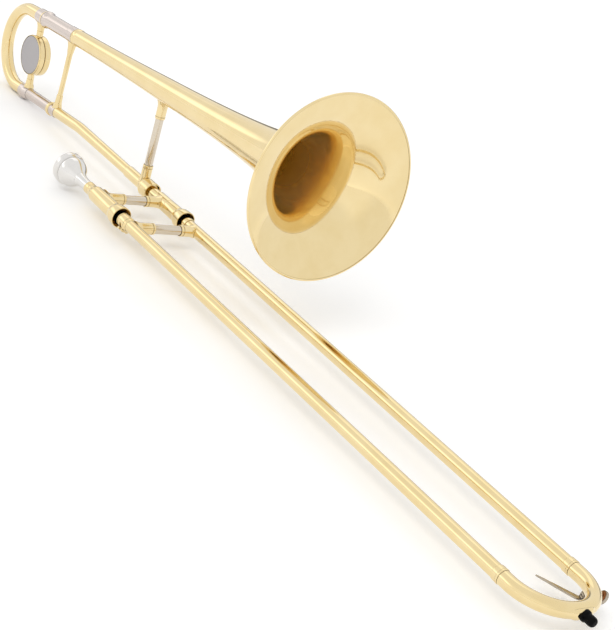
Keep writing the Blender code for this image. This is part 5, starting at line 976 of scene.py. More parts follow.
def make_outer_tubes():
    bore = OUTER_TUBE_RADIUS + PLAY
    radius = OVER_OUTER_TUBE + 0.00055
    start = -0.013
    rows = (("upper", 0.0042, MOUTH), ("lower", 0.009, SLIDE))
    for side, _, matrix in rows:
        name = "outer_slide_tube_" + side
        turned_piece(name + "_drawn", "outer_slide", name,
                     tube_outline(-0.016, OUTER_TUBE_REACH, OUTER_TUBE_BORE, OUTER_TUBE_RADIUS), matrix,
                     "tube brass", bpy.context.scene.trombone_tubes.sides, edge=FINE)
    for side, end, matrix in rows:
        name = "tube_sleeve_" + side
        turned_piece(name + "_turned", "outer_slide", name, [
            (start, bore, FINE), (start, radius - 0.0002, FINE), (start + 0.0004, radius, 0.0002),
            (end - 0.0008, radius, 0.0003), (end, radius - 0.0004, 0.0002), (end, bore, FINE)],
                     matrix, "turned brass", edge=FINE)


def make_outer_brace():
    upper_length = 0.02
    lower_length = 0.0152
    radius = OUTER_TUBE_RADIUS
    upper = MOUTH @ Matrix.Translation((OUTER_BRACE_X, 0, 0))
    name = "outer_brace_socket_upper"
    # The stop behind the slide lock is one piece with this socket
    stop = cutter([
        (0.0162, OVER_OUTER_TUBE + 0.0005), (0.0166, OVER_OUTER_TUBE + 0.0007),
        (0.018, OVER_OUTER_TUBE + 0.0006, 0.001), (0.0207, OUTER_TUBE_RADIUS + 0.0001)], MOUTH, 96, None)
    ring_space = box_tool((LOCK_START, -0.013, -0.013), (0.0162, 0.013, 0.013), MOUTH)
    brace_socket(name + "_turned", name, "outer_slide", radius, upper_length, upper, TO_BELL_SIDE, (stop,),
                 (ring_space,))
    name = "outer_brace_socket_lower"
    brace_socket(name, name, "outer_slide", radius, lower_length, SLIDE @ Matrix.Translation((OUTER_BRACE_X, 0, 0)),
                 TO_MOUTHPIECE_SIDE)
    brace("outer_brace_tube", "outer_slide", radius + upper_length, SLIDE_SPACING - radius - lower_length,
          upper @ TO_BELL_SIDE)


def make_slide_lock():
    radius = OVER_OUTER_TUBE + 0.0007
    bore = OVER_OUTER_TUBE - 0.0001
    end = 0.0159
    ring = turned("slide_lock_ring_turned", [
        (LOCK_START, bore, FINE), (LOCK_START, radius - 0.0003, 0.0002), (LOCK_START + 0.0004, radius, 0.0002),
        (end - 0.0004, radius, 0.0002), (end, radius - 0.0003, 0.0002), (end, bore, FINE)],
                  MOUTH, "turned brass", 96)
    lug_frame = MOUTH @ Matrix.Rotation(LOCK_LUG_ANGLE, 4, "X")
    slot_frame = MOUTH @ Matrix.Rotation(LOCK_LUG_ANGLE - LOCK_THROW, 4, "X")
    lug = box_tool((0.0059, OVER_OUTER_TUBE + 0.0004, -0.0026), (0.01534, radius + 0.0025, 0.0026), lug_frame, 0.0006)
    notch = box_tool((0.0096, radius + 0.0002, -0.0036), (0.0136, radius + 0.0031, 0.0036), lug_frame)
    slot = box_tool((0.0096, OVER_OUTER_TUBE - 0.0011, -0.0031), (0.0136, radius + 0.001, 0.0031), slot_frame)
    carve(ring, (lug,), (notch, slot))
    dress(ring, "slide_lock", "slide_lock_ring")


def bow_point(angle):
    return BOW_CENTRE + Vector((math.cos(angle), math.sin(angle), 0)) * BOW_ARC


def bow_tool(middle, spread, steps, radius):
    """Tool along the bow for spread degrees each way from middle, to seat a piece on it."""
    path = [bow_point(middle + math.radians(spread * (2 * k / steps - 1))) for k in range(steps + 1)]
    return pipe("tool", path, [radius] * len(path), SLIDE, "rubber", closed=True, sides=96)


def make_bow():
    steps = bpy.context.scene.trombone_tubes.bow_steps
    collar = BOW_CENTRE.x - 0.0069
    ends = ((OUTER_TUBE_REACH + SEAT, OUTER_TUBE_RADIUS), (collar, OUTER_TUBE_RADIUS), (collar + 0.0002, BOW_RADIUS),
            (BOW_CENTRE.x - 0.002, BOW_RADIUS))
    path = [Vector((x, 0, 0)) for x, _ in ends]
    path += [bow_point(math.pi / 2 - math.pi * i / steps) for i in range(steps + 1)]
    path += [Vector((x, -SLIDE_SPACING, 0)) for x, _ in reversed(ends)]
    radii = [radius for _, radius in ends]
    bow = pipe("slide_bow_drawn", path, radii + [BOW_RADIUS] * (steps + 1) + radii[::-1], SLIDE, "tube brass",
               wall=0.00045)
    carve(bow, cut=(rod_cutter(BOW_RADIUS - 0.002, BOW_RADIUS + 0.002, KEY_DRAIN_RADIUS, NIPPLE, 24),))
    dress(bow, "outer_slide", "slide_bow")
    end = BOW_CENTRE.x - 0.0072
    start = end - 0.0075
    radius = OVER_OUTER_TUBE + 0.0004
    groove = radius - 0.00022
    bore = OUTER_TUBE_RADIUS + PLAY
    for name, matrix in (("bow_ferrule_upper", MOUTH), ("bow_ferrule_lower", SLIDE)):
        turned_piece(name + "_turned", "outer_slide", name, [
            (start, bore, FINE), (start, radius - 0.0002, FINE), (start + 0.0005, radius, 0.0003),
            (end - 0.0024, radius, 0.0), (end - 0.0022, groove, 0.0), (end - 0.0019, groove, 0.0),
            (end - 0.0017, radius + 0.0001, 0.0), (end - 0.0006, radius + 0.0001, 0.0003),
            (end, radius - 0.0003, 0.0002), (end, bore, FINE)], matrix, "turned brass", edge=FINE)


def make_guard():
    """Guard plate: a curved sheet wrapped over the outside of the bow."""
    inner = BOW_RADIUS - 0.00015
    outer = BOW_RADIUS + SEAT + GUARD_THICKNESS
    count = 24
    spread = math.radians(15)
    wrap = math.radians(46)
    bm = bmesh.new()
    grid = {}
    for i in range(count + 1):
        u = 2 * i / count - 1
        ray = Vector((math.cos(spread * u), math.sin(spread * u), 0))
        centre = BOW_CENTRE + ray * BOW_ARC
        half = wrap * (1 - 0.25 * abs(u) ** 3)
        for j in range(count + 1):
            v = 2 * j / count - 1
            out = ray * math.cos(half * v) + Vector((0, 0, 1)) * math.sin(half * v)
            # The sheet thins to a soft edge.
            ends = max(0.0, (abs(u) - 0.5) / 0.5) ** 2
            edges = 0.4 * max(0.0, (abs(v) - 0.9) / 0.1) ** 2
            skin = outer - (outer - BOW_RADIUS + 0.00004) * min(1.0, ends + edges * (1 - ends))
            grid[i, j, 0] = bm.verts.new(centre + out * inner)
            grid[i, j, 1] = bm.verts.new(centre + out * skin)
    for i in range(count):
        for j in range(count):
            for k in (0, 1):
                bm.faces.new((grid[i, j, k], grid[i + 1, j, k], grid[i + 1, j + 1, k], grid[i, j + 1, k]))
        for side in (0, count):
            bm.faces.new((grid[i, side, 0], grid[i + 1, side, 0], grid[i + 1, side, 1], grid[i, side, 1]))
            bm.faces.new((grid[side, i, 0], grid[side, i + 1, 0], grid[side, i + 1, 1], grid[side, i, 1]))
    dress(to_object("bow_guard_sheet", bm, "tube brass", SLIDE, 45), "outer_slide", "bow_guard_plate")


def make_bumper():
    skin = BOW_RADIUS + SEAT + GUARD_THICKNESS
    apex = BOW_CENTRE.x + BOW_ARC + skin
    tip = apex + 0.0105
    radius = 0.0045
    base = 0.0054
    middle = SLIDE @ Matrix.Translation((0, -SLIDE_SPACING / 2, 0))
    bumper = turned("bumper_rubber", [
        (apex - 0.003, 0.0), (apex - 0.003, base), (apex + 0.001, base, 0.0004),
        (apex + 0.0017, base - 0.0006, 0.0005), (apex + 0.0024, radius - 0.0002, 0.0008),
        (apex + 0.0045, radius, 0.001), (tip - radius * 0.62, radius, 0.0012),
        (tip - radius * 0.3, radius * 0.9, 0.0008), (tip - radius * 0.09, radius * 0.72, 0.0006),
        (tip, 0.0022, 0.0004), (tip, 0.0)], middle, "rubber", 64, False)
    nub = cutter([(0.001, 0.0017), (0.007, 0.0017, 0.0008), (0.0078, 0.001, 0.0006)],
                 middle @ Matrix.Translation((apex + 0.00034, 0, 0)) @ TO_MOUTHPIECE_SIDE, 32, None)
    carve(bumper, (nub,), (bow_tool(0.0, 26, 24, skin + PLAY),), 40)
    dress(bumper, "outer_slide", "bumper")


# Water key

def strap(name, path, matrix, kind, thickness, tip_thickness):
    """Forged bar through (point, width) stations, with rounded edges, thinning to its tip."""
    bm = bmesh.new()
    rings = []
    shape = []
    steps = 6
    for quarter in range(4):
        for k in range(steps):
            turn = math.pi / 2 * (quarter + k / steps)
            c = math.cos(turn)
            s = math.sin(turn)
            shape.append((math.copysign(abs(c) ** 0.35, c), math.copysign(abs(s) ** 0.55, s)))
    for i, (point, width) in enumerate(path):
        before = Vector(path[max(i - 1, 0)][0])
        after = Vector(path[min(i + 1, len(path) - 1)][0])
        tangent = (after - before).normalized()
        across = tangent.cross(Vector((0, 0, 1))).normalized()
        rise = across.cross(tangent)
        half = (thickness + (tip_thickness - thickness) * i / (len(path) - 1)) / 2
        ring = []
        for a, b in shape:
            ring.append(bm.verts.new(Vector(point) + across * (a * width / 2) + rise * (b * half)))
        rings.append(ring)
    for ring_a, ring_b in zip(rings[:-1], rings[1:]):
        for i in range(len(shape)):
            j = (i + 1) % len(shape)
            bm.faces.new((ring_a[i], ring_a[j], ring_b[j], ring_b[i]))
    bm.faces.new(rings[0])
    bm.faces.new(rings[-1])
    return to_object(name, bm, kind, matrix, 50)


def smooth_path(stations, per_span=8):
    """Catmull-Rom points through (point, width) stations."""
    points = [(Vector(p), w) for p, w in stations]
    padded = [points[0]] + points + [points[-1]]
    path = []
    for k in range(1, len(padded) - 2):
        (p0, w0), (p1, w1), (p2, w2), (p3, w3) = padded[k - 1:k + 3]
        for n in range(per_span):
            t = n / per_span
            point = 0.5 * (2 * p1 + (p2 - p0) * t + (2 * p0 - 5 * p1 + 4 * p2 - p3) * t * t
                           + (3 * p1 - p0 - 3 * p2 + p3) * t * t * t)
            ease = t * t * (3 - 2 * t)
            path.append((point, w1 + (w2 - w1) * ease))
    path.append(points[-1])
    return path


def make_water_key():
    nipple_top = BOW_RADIUS + NIPPLE_HEIGHT
    nipple_foot = BOW_RADIUS - 0.0008
    nipple = turned("water_key_nipple_turned", [
        (nipple_foot, KEY_DRAIN_RADIUS), (nipple_foot, 0.0041), (BOW_RADIUS + 0.0006, 0.0041, 0.0002),
        (BOW_RADIUS + 0.0011, 0.0034, 0.0003), (nipple_top, 0.0034, 0.0003), (nipple_top, KEY_DRAIN_RADIUS, FINE)],
                    NIPPLE, "turned brass", 64)
    carve(nipple, cut=(bow_tool(KEY_BOW_ANGLE, 16, 16, BOW_RADIUS + PLAY),))
    dress(nipple, "outer_slide", "water_key_nipple")

    ear_inner = 0.0046
    ear_end = 0.0058
    low = 0.0027
    pin_hole = 0.00105
    saddle = box_tool((-ear_end, -0.002, low), (ear_end, 0.0062, 0.0051), KEY, 0.0004,
                      "nickel forged", "water_key_saddle_forged")
    ears = []
    for start, end in ((-ear_end, -ear_inner), (ear_inner, ear_end)):
        ears.append(box_tool((start, -0.0022, 0.0), (end, 0.0024, low + 0.0006), KEY, 0.0002))
        ears.append(rod_cutter(start, end, 0.0026, KEY, 48, 0.0002))
    carve(saddle, ears, (rod_cutter(-0.008, 0.008, pin_hole, KEY, 32),
                         bow_tool(KEY_BOW_ANGLE, 16, 16, BOW_RADIUS + PLAY)))
    dress(saddle, "outer_slide", "water_key_saddle")

    turned_piece("water_key_pin_turned", "outer_slide", "water_key_pin", [
        (-0.0062, 0.0), (-0.0062, 0.001), (0.0054, 0.001), (0.0055, 0.0014, FINE), (0.0062, 0.0013, 0.0002),
        (0.0062, 0.0)], KEY, "steel", 32, False, FINE)

    left = -0.0043
    right = 0.0004
    middle = (left + right) / 2
    lever = turned("water_key_lever_forged", rod_outline(left, right, 0.0024), KEY, "nickel forged", 48, False, 0.0002)
    finger = strap("tool", smooth_path([
        ((middle, -0.0012, -0.0004), 0.004), ((middle - 0.0003, -0.0036, -0.0004), 0.005),
        ((middle - 0.0014, -0.007, -0.0003), 0.0062), ((middle - 0.0076, -0.0195, 0.0003), 0.0051),
        ((middle - 0.0121, -0.029, 0.001), 0.0036), ((middle - 0.0164, -0.0383, 0.0017), 0.002)]),
                   KEY, None, 0.0024, 0.001)
    back = nipple_top + SEAT + KEY_CORK_THICKNESS + SEAT
    rim = nipple_top + SEAT + 0.0008
    cup_bore = 0.0053
    cup_radius = 0.0059
    cup_back = 0.0009
    along_axis = Vector((0, math.cos(KEY_NIPPLE_TILT), -math.sin(KEY_NIPPLE_TILT)))
    across_axis = Vector((0, -math.sin(KEY_NIPPLE_TILT), -math.cos(KEY_NIPPLE_TILT)))
    tube_centre = Vector((0, KEY_HINGE_INSET, KEY_HINGE_DROP))
    foot = tube_centre + along_axis * (back + cup_back * 0.4) + across_axis * (cup_radius - 0.0009)
    half_gap = tube_centre.z - BOW_RADIUS - foot.z
    under = Vector((middle * 0.5, KEY_HINGE_INSET + 0.0045, -half_gap * 0.32))
    arm = strap("tool", smooth_path([((middle, 0.0008, -0.0006), 0.0044), (under, 0.004), (foot, 0.0037)]),
                KEY, None, 0.0013, 0.0013)
    cup = cutter([(back, cup_bore, FINE), (rim, cup_bore, FINE), (rim, cup_radius, FINE),
                  (back + 0.0002, cup_radius, 0.0003), (back + cup_back, cup_radius - 0.0009, 0.0004)], CUP, 64, None)
    carve(lever, (finger, arm, cup), (rod_cutter(left - 0.002, right + 0.002, pin_hole, KEY, 32),), 40)
    dress(lever, "water_key", "water_key_lever")
    start = nipple_top + SEAT * 0.5
    end = start + KEY_CORK_THICKNESS
    turned_piece("water_key_cork_cut", "water_key", "water_key_cork",
                 [(start, 0.0), (start, 0.005, 0.0004), (end, 0.005, 0.0002), (end, 0.0)], CUP, "cork", 48, False)

    first = right + SEAT + 0.0003
    last = first + 0.0033
    coil = 0.0022
    around = 18
    steps = 3 * around
    path = [Vector((first, -0.0062, 0)), Vector((first, -0.0046, coil * 0.25)), Vector((first, -0.003, coil * 0.55))]
    for i in range(steps + 1):
        turn = math.radians(100) - 2 * math.pi * i / around
        path.append(Vector((first + (last - first) * i / steps, coil * math.cos(turn), coil * math.sin(turn))))
    path += [Vector((last, 0.0024, coil * 0.98)), Vector((last, 0.0062, coil * 1.02))]
    spring = pipe("water_key_spring_wound", path, [0.0003] * len(path), KEY, "steel", closed=True, sides=12)
    dress(spring, "outer_slide", "water_key_spring")


# Bell section

def flare_radius(station):
    bell = bpy.context.scene.trombone_bell
    reach = bell.flare_scale + BELL_RIM_STATION - station
    return bell.rim_radius * (bell.flare_scale / reach) ** bell.flare_power


def flare_station(radius):
    bell = bpy.context.scene.trombone_bell
    return BELL_RIM_STATION - bell.flare_scale * ((bell.rim_radius / radius) ** (1 / bell.flare_power) - 1)


def bell_radius(station):
    """Radius of the bell's skin, as in its tree."""
    bell = bpy.context.scene.trombone_bell
    if station >= FLARE_START:
        return flare_radius(station)
    length = FLARE_START - BELL_TAIL_STATION
    part = (station - BELL_TAIL_STATION) / length
    taper = TAIL_TAPER * length
    rise = flare_radius(FLARE_START) - bell.tail_radius - taper
    return bell.tail_radius + taper * part + rise * part * part


def rim_facts():
    """Radius where the sheet turns over, the way along and off it there, and the roll's centre and radii."""
    bell = bpy.context.scene.trombone_bell
    bore = bell.wire_radius + SEAT
    roll = bore + bell.sheet
    edge = bell.rim_radius - roll - bell.sheet * 0.7
    slope = (flare_station(edge + 0.0001) - flare_station(edge - 0.0001)) / 0.0002
    along = Vector((slope, 1.0)).normalized()
    front = Vector((along.y, -along.x))
    return edge, along, front, Vector((flare_station(edge), edge)) - front * bore, bore, roll


def make_bell():
    bell = bpy.context.scene.trombone_bell
    seed = points_object("bell_seed", [Vector((0, 0, 0)), Vector((0.001, 0, 0))])
    stem = bell.rings // 4
    obj = grow("bell_spun", seed, bell_tree(), {
        "Stem Rings": stem, "Flare Rings": bell.rings - stem, "Sides": bell.sides,
        "Tail Station": BELL_TAIL_STATION, "Tail Radius": bell.tail_radius, "Tail Taper": TAIL_TAPER,
        "Flare Start": FLARE_START, "Rim Station": BELL_RIM_STATION, "Rim Radius": bell.rim_radius,
        "Edge Radius": rim_facts()[0], "Flare Scale": bell.flare_scale, "Flare Power": bell.flare_power},
        BELL, "bell brass", wall=bell.sheet)
    # How far each point lies down the throat: 0 on the outside and in the open flare, 1 deep inside; the brass finish
    # darkens the colour by it as painted shade
    deep = obj.data.attributes.new("inside", "FLOAT", "POINT")
    home = BELL.inverted()
    for vert in obj.data.vertices:
        spot = home @ vert.co
        facing = spot.yz.dot((home.to_3x3() @ vert.normal).yz)
        down = (BELL_RIM_STATION - THROAT_DEPTH - spot.x) / THROAT_FADE
        deep.data[vert.index].value = min(1.0, max(0.0, down)) if facing < 0 else 0.0
    dress(obj, "bell_section", "bell")


def make_rim():
    """The sheet's edge rolled back over the wire, seen as a bead round the rim."""
    bell = bpy.context.scene.trombone_bell
    _, along, front, centre, bore, roll = rim_facts()
    side = Vector((-front.y, front.x))
    if side.dot(along) < 0:
        side = -side
    rays = []
    for k in range(31):
        turn = math.radians(-4) + math.radians(304) * k / 30
        rays.append(front * math.cos(turn) + side * math.sin(turn))
    curl = [centre + ray * roll for ray in rays] + [centre + ray * bore for ray in reversed(rays)]
    edge = 0.00003
    dress(turned("bell_rolled_rim", [(p.x, p.y, edge) for p in curl], BELL, "bell brass", bell.sides, edge=edge,
                 sharp=50), "bell_section")
    ring = []
    for k in range(20):
        turn = 2 * math.pi * k / 20
        ring.append((centre.x + bell.wire_radius * math.cos(turn), centre.y + bell.wire_radius * math.sin(turn), 0.0))
    turned_piece("bell_rim_wire_round", "bell_section", "bell_rim_wire", ring, BELL, "steel", bell.sides, edge=0.0)


def tail_ferrule_bore():
    return max(UPPER_LEG_RADIUS, bell_radius(TAIL_FERRULE_END)) + SEAT


def make_upper_leg():
    radius = UPPER_LEG_RADIUS
    bore = UPPER_INNER_LEG_RADIUS + SEAT
    bead = 0.0109
    start = UPPER_LEG_START
    end = BELL_TAIL_STATION - SEAT
    turned_piece("outer_leg_upper_drawn", "bell_section", "outer_leg_upper", [
        (start + 0.0016, bore, 0.0002), (start, bore + 0.0004, FINE), (start, bead - 0.0003, 0.0002),
        (start + 0.001, bead - 0.0002, FINE), (start + 0.0012, bead - 0.0009, 0.0),
        (start + 0.0021, bead - 0.0009, 0.0), (start + 0.0023, bead, 0.0002), (start + 0.0046, bead - 0.0003, 0.0015),
        (start + 0.0076, radius + 0.0003, 0.0018), (start + 0.0105, radius, 0.0012), (end, radius, FINE),
        (end, bore, FINE)], BELL, "nickel leg")
    over = radius + PLAY
    start = -0.327
    end = -0.3134
    turned_piece("leg_step_ferrule_turned", "bell_section", "leg_step_ferrule", [
        (start, over, FINE), (start, STEP_RADIUS - 0.0003, FINE), (start + 0.0006, STEP_RADIUS, 0.0003),
        (end, STEP_RADIUS, FINE), (end, over, FINE)], BELL, "nickel leg")
    tail = tail_ferrule_bore() + 0.0008
    start = -0.3126
    turned_piece("bell_tail_ferrule_turned", "bell_section", "bell_tail_ferrule", [
        (start, over, FINE), (start, tail - 0.0003, FINE), (-0.3119, tail - 0.0002, FINE),
        (-0.3117, tail - 0.0007, 0.0), (-0.3109, tail - 0.0007, 0.0), (-0.3107, tail, 0.0002), (-0.307, tail, 0.001),
        (-0.3036, bell_radius(TAIL_FERRULE_END) + 0.0001, 0.0002), (-0.3034, bell_radius(-0.3034) - 0.0002, 0.0),
        (-0.311, bell_radius(-0.311) - 0.0001, 0.0)], BELL, "turned brass", edge=FINE)


def make_lower_leg():
    radius = LOWER_LEG_RADIUS
    turned_piece("outer_leg_lower_drawn", "bell_section", "outer_leg_lower",
                 tube_outline(LOWER_LEG_START, LOWER_LEG_END, LOWER_INNER_LEG_RADIUS + SEAT, radius), LEG,
                 "nickel leg")
    start = NECK_BEAD_START
    bead = NECK_BEAD_RADIUS
    end = -0.3371
    over = 0.007
    turned_piece("neck_ferrule_bead_turned", "bell_section", "neck_ferrule_bead", [
        (start, radius + PLAY, FINE), (start, bead - 0.001, 0.0004), (start + 0.001, bead - 0.0002, 0.0006),
        (start + 0.0018, bead, 0.0006), (start + 0.0038, bead, 0.0006), (start + 0.0048, bead - 0.0001, 0.0006),
        (end, bead - 0.0011, 0.0004), (end, over, FINE)], LEG, "turned brass")
    start = NECK_FERRULE_START
    end = NECK_FERRULE_END
    ferrule = NECK_FERRULE_RADIUS
    turned_piece("neck_ferrule_turned", "bell_section", "neck_ferrule", [
        (start, over - PLAY, FINE), (start, ferrule, 0.0002), (end - 0.0008, ferrule, 0.0004),
        (end, ferrule - 0.0004, 0.0002), (end, over - 0.0002, FINE)], LEG, "nickel leg")


def make_neckpipe():
    cross_x = NECK_BEND_STATION * math.cos(BELL_TILT) + LEG_SPACING * math.sin(BELL_TILT)
    bend = 0.12
    tangent = bend * math.tan(BELL_TILT / 2)
    leg_part = NECK_BEND_STATION - tangent - (LOWER_LEG_END + SEAT)
    front_part = NECKPIPE_FRONT - (cross_x + tangent)
    arc = bend * BELL_TILT
    total = front_part + arc + leg_part
    slant = Vector((math.cos(BELL_TILT), 0, math.sin(BELL_TILT)))
    centre = Vector((cross_x + tangent, 0, -bend))
    # The pipe widens from front to back: each point with the way that it lies along the pipe
    stations = [(Vector((NECKPIPE_FRONT - front_part * k / 8, 0, 0)), front_part * k / 8) for k in range(9)]
    for k in range(1, 11):
        turn = BELL_TILT * k / 10
        stations.append((centre + Vector((-math.sin(turn), 0, math.cos(turn))) * bend, front_part + arc * k / 10))
    last = stations[-1][0]
    stations += [(last - slant * (leg_part * k / 8), front_part + arc + leg_part * k / 8) for k in range(1, 9)]
    radii = [min(0.00615 + 0.00075 * way / (total - 0.02), 0.0069) for _, way in stations]
    obj = pipe("neckpipe_drawn", [point for point, _ in stations], radii, LEAN, "tube brass", wall=0.0004)
    dress(obj, "bell_section", "neckpipe")


def receiver_outline(extra):
    """Outside of the slide receiver up to the lock nut, grown by extra."""
    radius = RECEIVER_RADIUS + extra
    start = RECEIVER_BACK
    flare = NUT_BACK - SEAT - 0.0075
    end = NUT_BACK - SEAT
    return [
        (start, radius - 0.0004, FINE), (start + 0.0012, radius, 0.0004), (flare - 0.001, radius, 0.0015),
        (flare + 0.0026, radius + 0.0005, 0.0012), (flare + 0.0052, radius + 0.0022, 0.001),
        (end - 0.0014, 0.0103 + extra, 0.0006), (end, 0.0101 + extra, 0.0003)]


def make_slide_receiver():
    lip_end = NUT_BACK + 0.0024
    ring_start = lip_end + SEAT
    ring_end = ring_start + 0.0024
    ring = RECEIVER_RADIUS + 0.0017
    front = NECKPIPE_FRONT + SEAT
    turned_piece("slide_receiver_turned", "bell_section", "slide_receiver", receiver_outline(0.0) + [
        (NUT_BACK - SEAT, RECEIVER_RADIUS, FINE), (ring_start, RECEIVER_RADIUS, FINE), (ring_start, ring, 0.0002),
        (ring_end, ring, 0.0003), (ring_end, 0.0065, FINE), (front, 0.0061, FINE), (front, 0.0062, FINE),
        (RECEIVER_BACK, 0.0062, FINE)], LEAN, "turned brass", 96)
    radius = 0.011
    bore = 0.0095
    lip = RECEIVER_RADIUS + SEAT
    grooves = [(start + way, radius - depth, 0.0) for start in (NUT_BACK + 0.003, NUT_MOUTH - 0.0035)
               for way, depth in ((0.0, 0.0), (0.0001, 0.00012), (0.0004, 0.00012), (0.0005, 0.0))]
    turned_piece("lock_nut_turned", "lock_nut", "lock_nut", [
        (NUT_BACK, lip, FINE), (NUT_BACK, radius - 0.0005, 0.0004), (NUT_BACK + 0.0005, radius, 0.0004), *grooves,
        (NUT_MOUTH - 0.0005, radius - 0.0001, 0.0004), (NUT_MOUTH, radius - 0.0006, 0.0003),
        (NUT_MOUTH, bore + 0.0003, 0.0002), (NUT_MOUTH - 0.0006, bore, 0.0002), (lip_end, bore, 0.0002),
        (lip_end, lip, FINE)], LEAN, "turned brass", 112)


def make_front_brace():
    foot = Vector((-0.0962, 0, 0))
    reach = -0.1007
    head = Vector((reach * math.cos(BELL_TILT), 0, BELL_AXIS_HEIGHT + reach * math.sin(BELL_TILT)))
    line = head - foot
    turn = math.atan2(line.z, line.x)
    up = LEAN @ Matrix.Translation(foot) @ Matrix.Rotation(-turn, 4, "Y")
    down = LEAN @ Matrix.Translation(head) @ Matrix.Rotation(math.pi - turn, 4, "Y")
    barrel = FRONT_SOCKET_RADIUS
    start = RECEIVER_RADIUS + 0.017
    lower = turned("front_brace_socket_lower_turned",
                   socket_outline(RECEIVER_RADIUS, 0.017, spread=0.0004, barrel=barrel), up, "turned brass",
                   closed=False)
    flare_end = NUT_BACK - SEAT
    cover = cutter([(RECEIVER_BACK - 0.002, 0.0)] + receiver_outline(-PLAY), LEAN, 96, None)
    nut_space = rod_cutter(flare_end, NUT_MOUTH, 0.015, LEAN, 64)
    bore = socket_bore(RECEIVER_RADIUS + BORE_FLOOR, start, FRONT_BRACE_RADIUS, up)
    carve(lower, cut=(cover, nut_space, bore))
    dress(lower, "bell_section", "front_brace_socket_lower")
    skin = bell_radius(reach)
    mouth = skin + 0.0195
    upper = turned("front_brace_socket_upper_turned", [
        (skin - 0.002, 0.0), (skin - 0.002, barrel + 0.0026), (skin + 0.0008, barrel + 0.0012, 0.001),
        (skin + 0.003, barrel + 0.0005, 0.0012), (skin + 0.007, barrel, 0.0016)] + socket_mouth(mouth, barrel),
                   down, "turned brass", closed=False)
    spots = [reach - 0.03 + 0.005 * i for i in range(13)]
    cover = cutter([(spot, bell_radius(spot) - PLAY, 0.0) for spot in spots], BELL, 144)
    bore = socket_bore(skin + 0.0022, mouth, FRONT_BRACE_RADIUS, down)
    carve(upper, cut=(cover, bore))
    dress(upper, "bell_section", "front_brace_socket_upper")
    brace("front_brace_tube", "bell_section", start, line.length - mouth, up, FRONT_BRACE_RADIUS)


def make_rear_brace():
    top = Vector((-0.3205, 0, 0))
    line = Vector((-0.329, 0, -LEG_SPACING)) - top
    length = line.length
    matrix = BELL @ Matrix.Translation(top) @ Matrix.Rotation(math.atan2(-line.z, line.x), 4, "Y")
    step = STEP_RADIUS
    neck = NECK_FERRULE_RADIUS
    foot = length - neck
    slim = 0.0031
    sleeve = 0.0039
    obj = turned("rear_brace_turned", [
        (step - 0.003, 0.0), (step - 0.003, 0.0066), (step + 0.0006, 0.0056, 0.0008), (step + 0.004, 0.0048, 0.0015),
        (step + 0.0118, sleeve, 0.0015), (step + 0.0124, sleeve - 0.0001, 0.0002),
        (step + 0.0132, slim + 0.0003, 0.0004), (length * 0.6, slim, 0.004), (length - 0.0224, slim, 0.0003),
        (length - 0.0219, sleeve - 0.0001, 0.0002), (length - 0.0214, sleeve, 0.0002),
        (length - 0.016, sleeve + 0.0002, 0.001), (foot - 0.004, sleeve + 0.0005, 0.0015),
        (foot - 0.0006, 0.0054, 0.0012), (foot + 0.0028, 0.0064), (foot + 0.0028, 0.0)],
                 matrix, "turned brass", 64, False)
    tail = tail_ferrule_bore() + 0.0005
    upper = cutter([(-0.337, step), (-0.313, step), (-0.313, tail), (-0.2935, tail)], BELL)
    lower = cutter([
        (NECK_BEAD_START, NECK_BEAD_RADIUS), (NECK_FERRULE_START, NECK_BEAD_RADIUS), (NECK_FERRULE_START, neck),
        (NECK_FERRULE_END, neck), (NECK_FERRULE_END, 0.00685), (-0.305, 0.00685)], LEG)
    carve(obj, cut=(upper, lower))
    dress(obj, "bell_section", "rear_brace")


# Tuning slide

def make_crook():
    steps = bpy.context.scene.trombone_tubes.crook_steps
    station = CROOK_CENTRE_STATION
    upper_end = UPPER_CROOK_FERRULE_START + 0.005
    lower_end = LOWER_CROOK_FERRULE_START + 0.005
    centre = Vector((station, 0, -CROOK_ARC))
    path = [Vector((upper_end - (upper_end - station) * k / 6, 0, 0)) for k in range(6)]
    for k in range(steps + 1):
        turn = math.pi / 2 + math.pi * k / steps
        path.append(centre + Vector((math.cos(turn), 0, math.sin(turn))) * CROOK_ARC)
    path += [Vector((station + (lower_end - station) * k / 2, 0, -LEG_SPACING)) for k in (1, 2)]
    radii = [CROOK_RADIUS + 0.0003 * (1 - k / 6) ** 0.5 for k in range(6)] + [CROOK_RADIUS] * (steps + 3)
    dress(pipe("tuning_crook_bent", path, radii, BELL, "tube brass", wall=0.0005, sides=80), "tuning_slide",
          "tuning_crook")


def lower_ferrule_outline(extra):
    """Outside of the lower crook ferrule, which narrows to its leg, grown by extra."""
    start = LOWER_CROOK_FERRULE_START
    end = LOWER_LEG_START - SEAT
    radius = CROOK_FERRULE_RADIUS + extra
    small = LOWER_LEG_RADIUS + 0.0006 + extra
    return [
        (start, radius - 0.0006, 0.0003), (start + 0.001, radius, 0.0005), (end - 0.0088, radius + 0.0001, 0.001),
        (end - 0.006, (radius * 2 + small) / 3, 0.0012), (end - 0.0034, (radius + small * 3) / 4, 0.0012),
        (end - 0.0008, small, 0.0006), (end, small - 0.0004, 0.0002)]


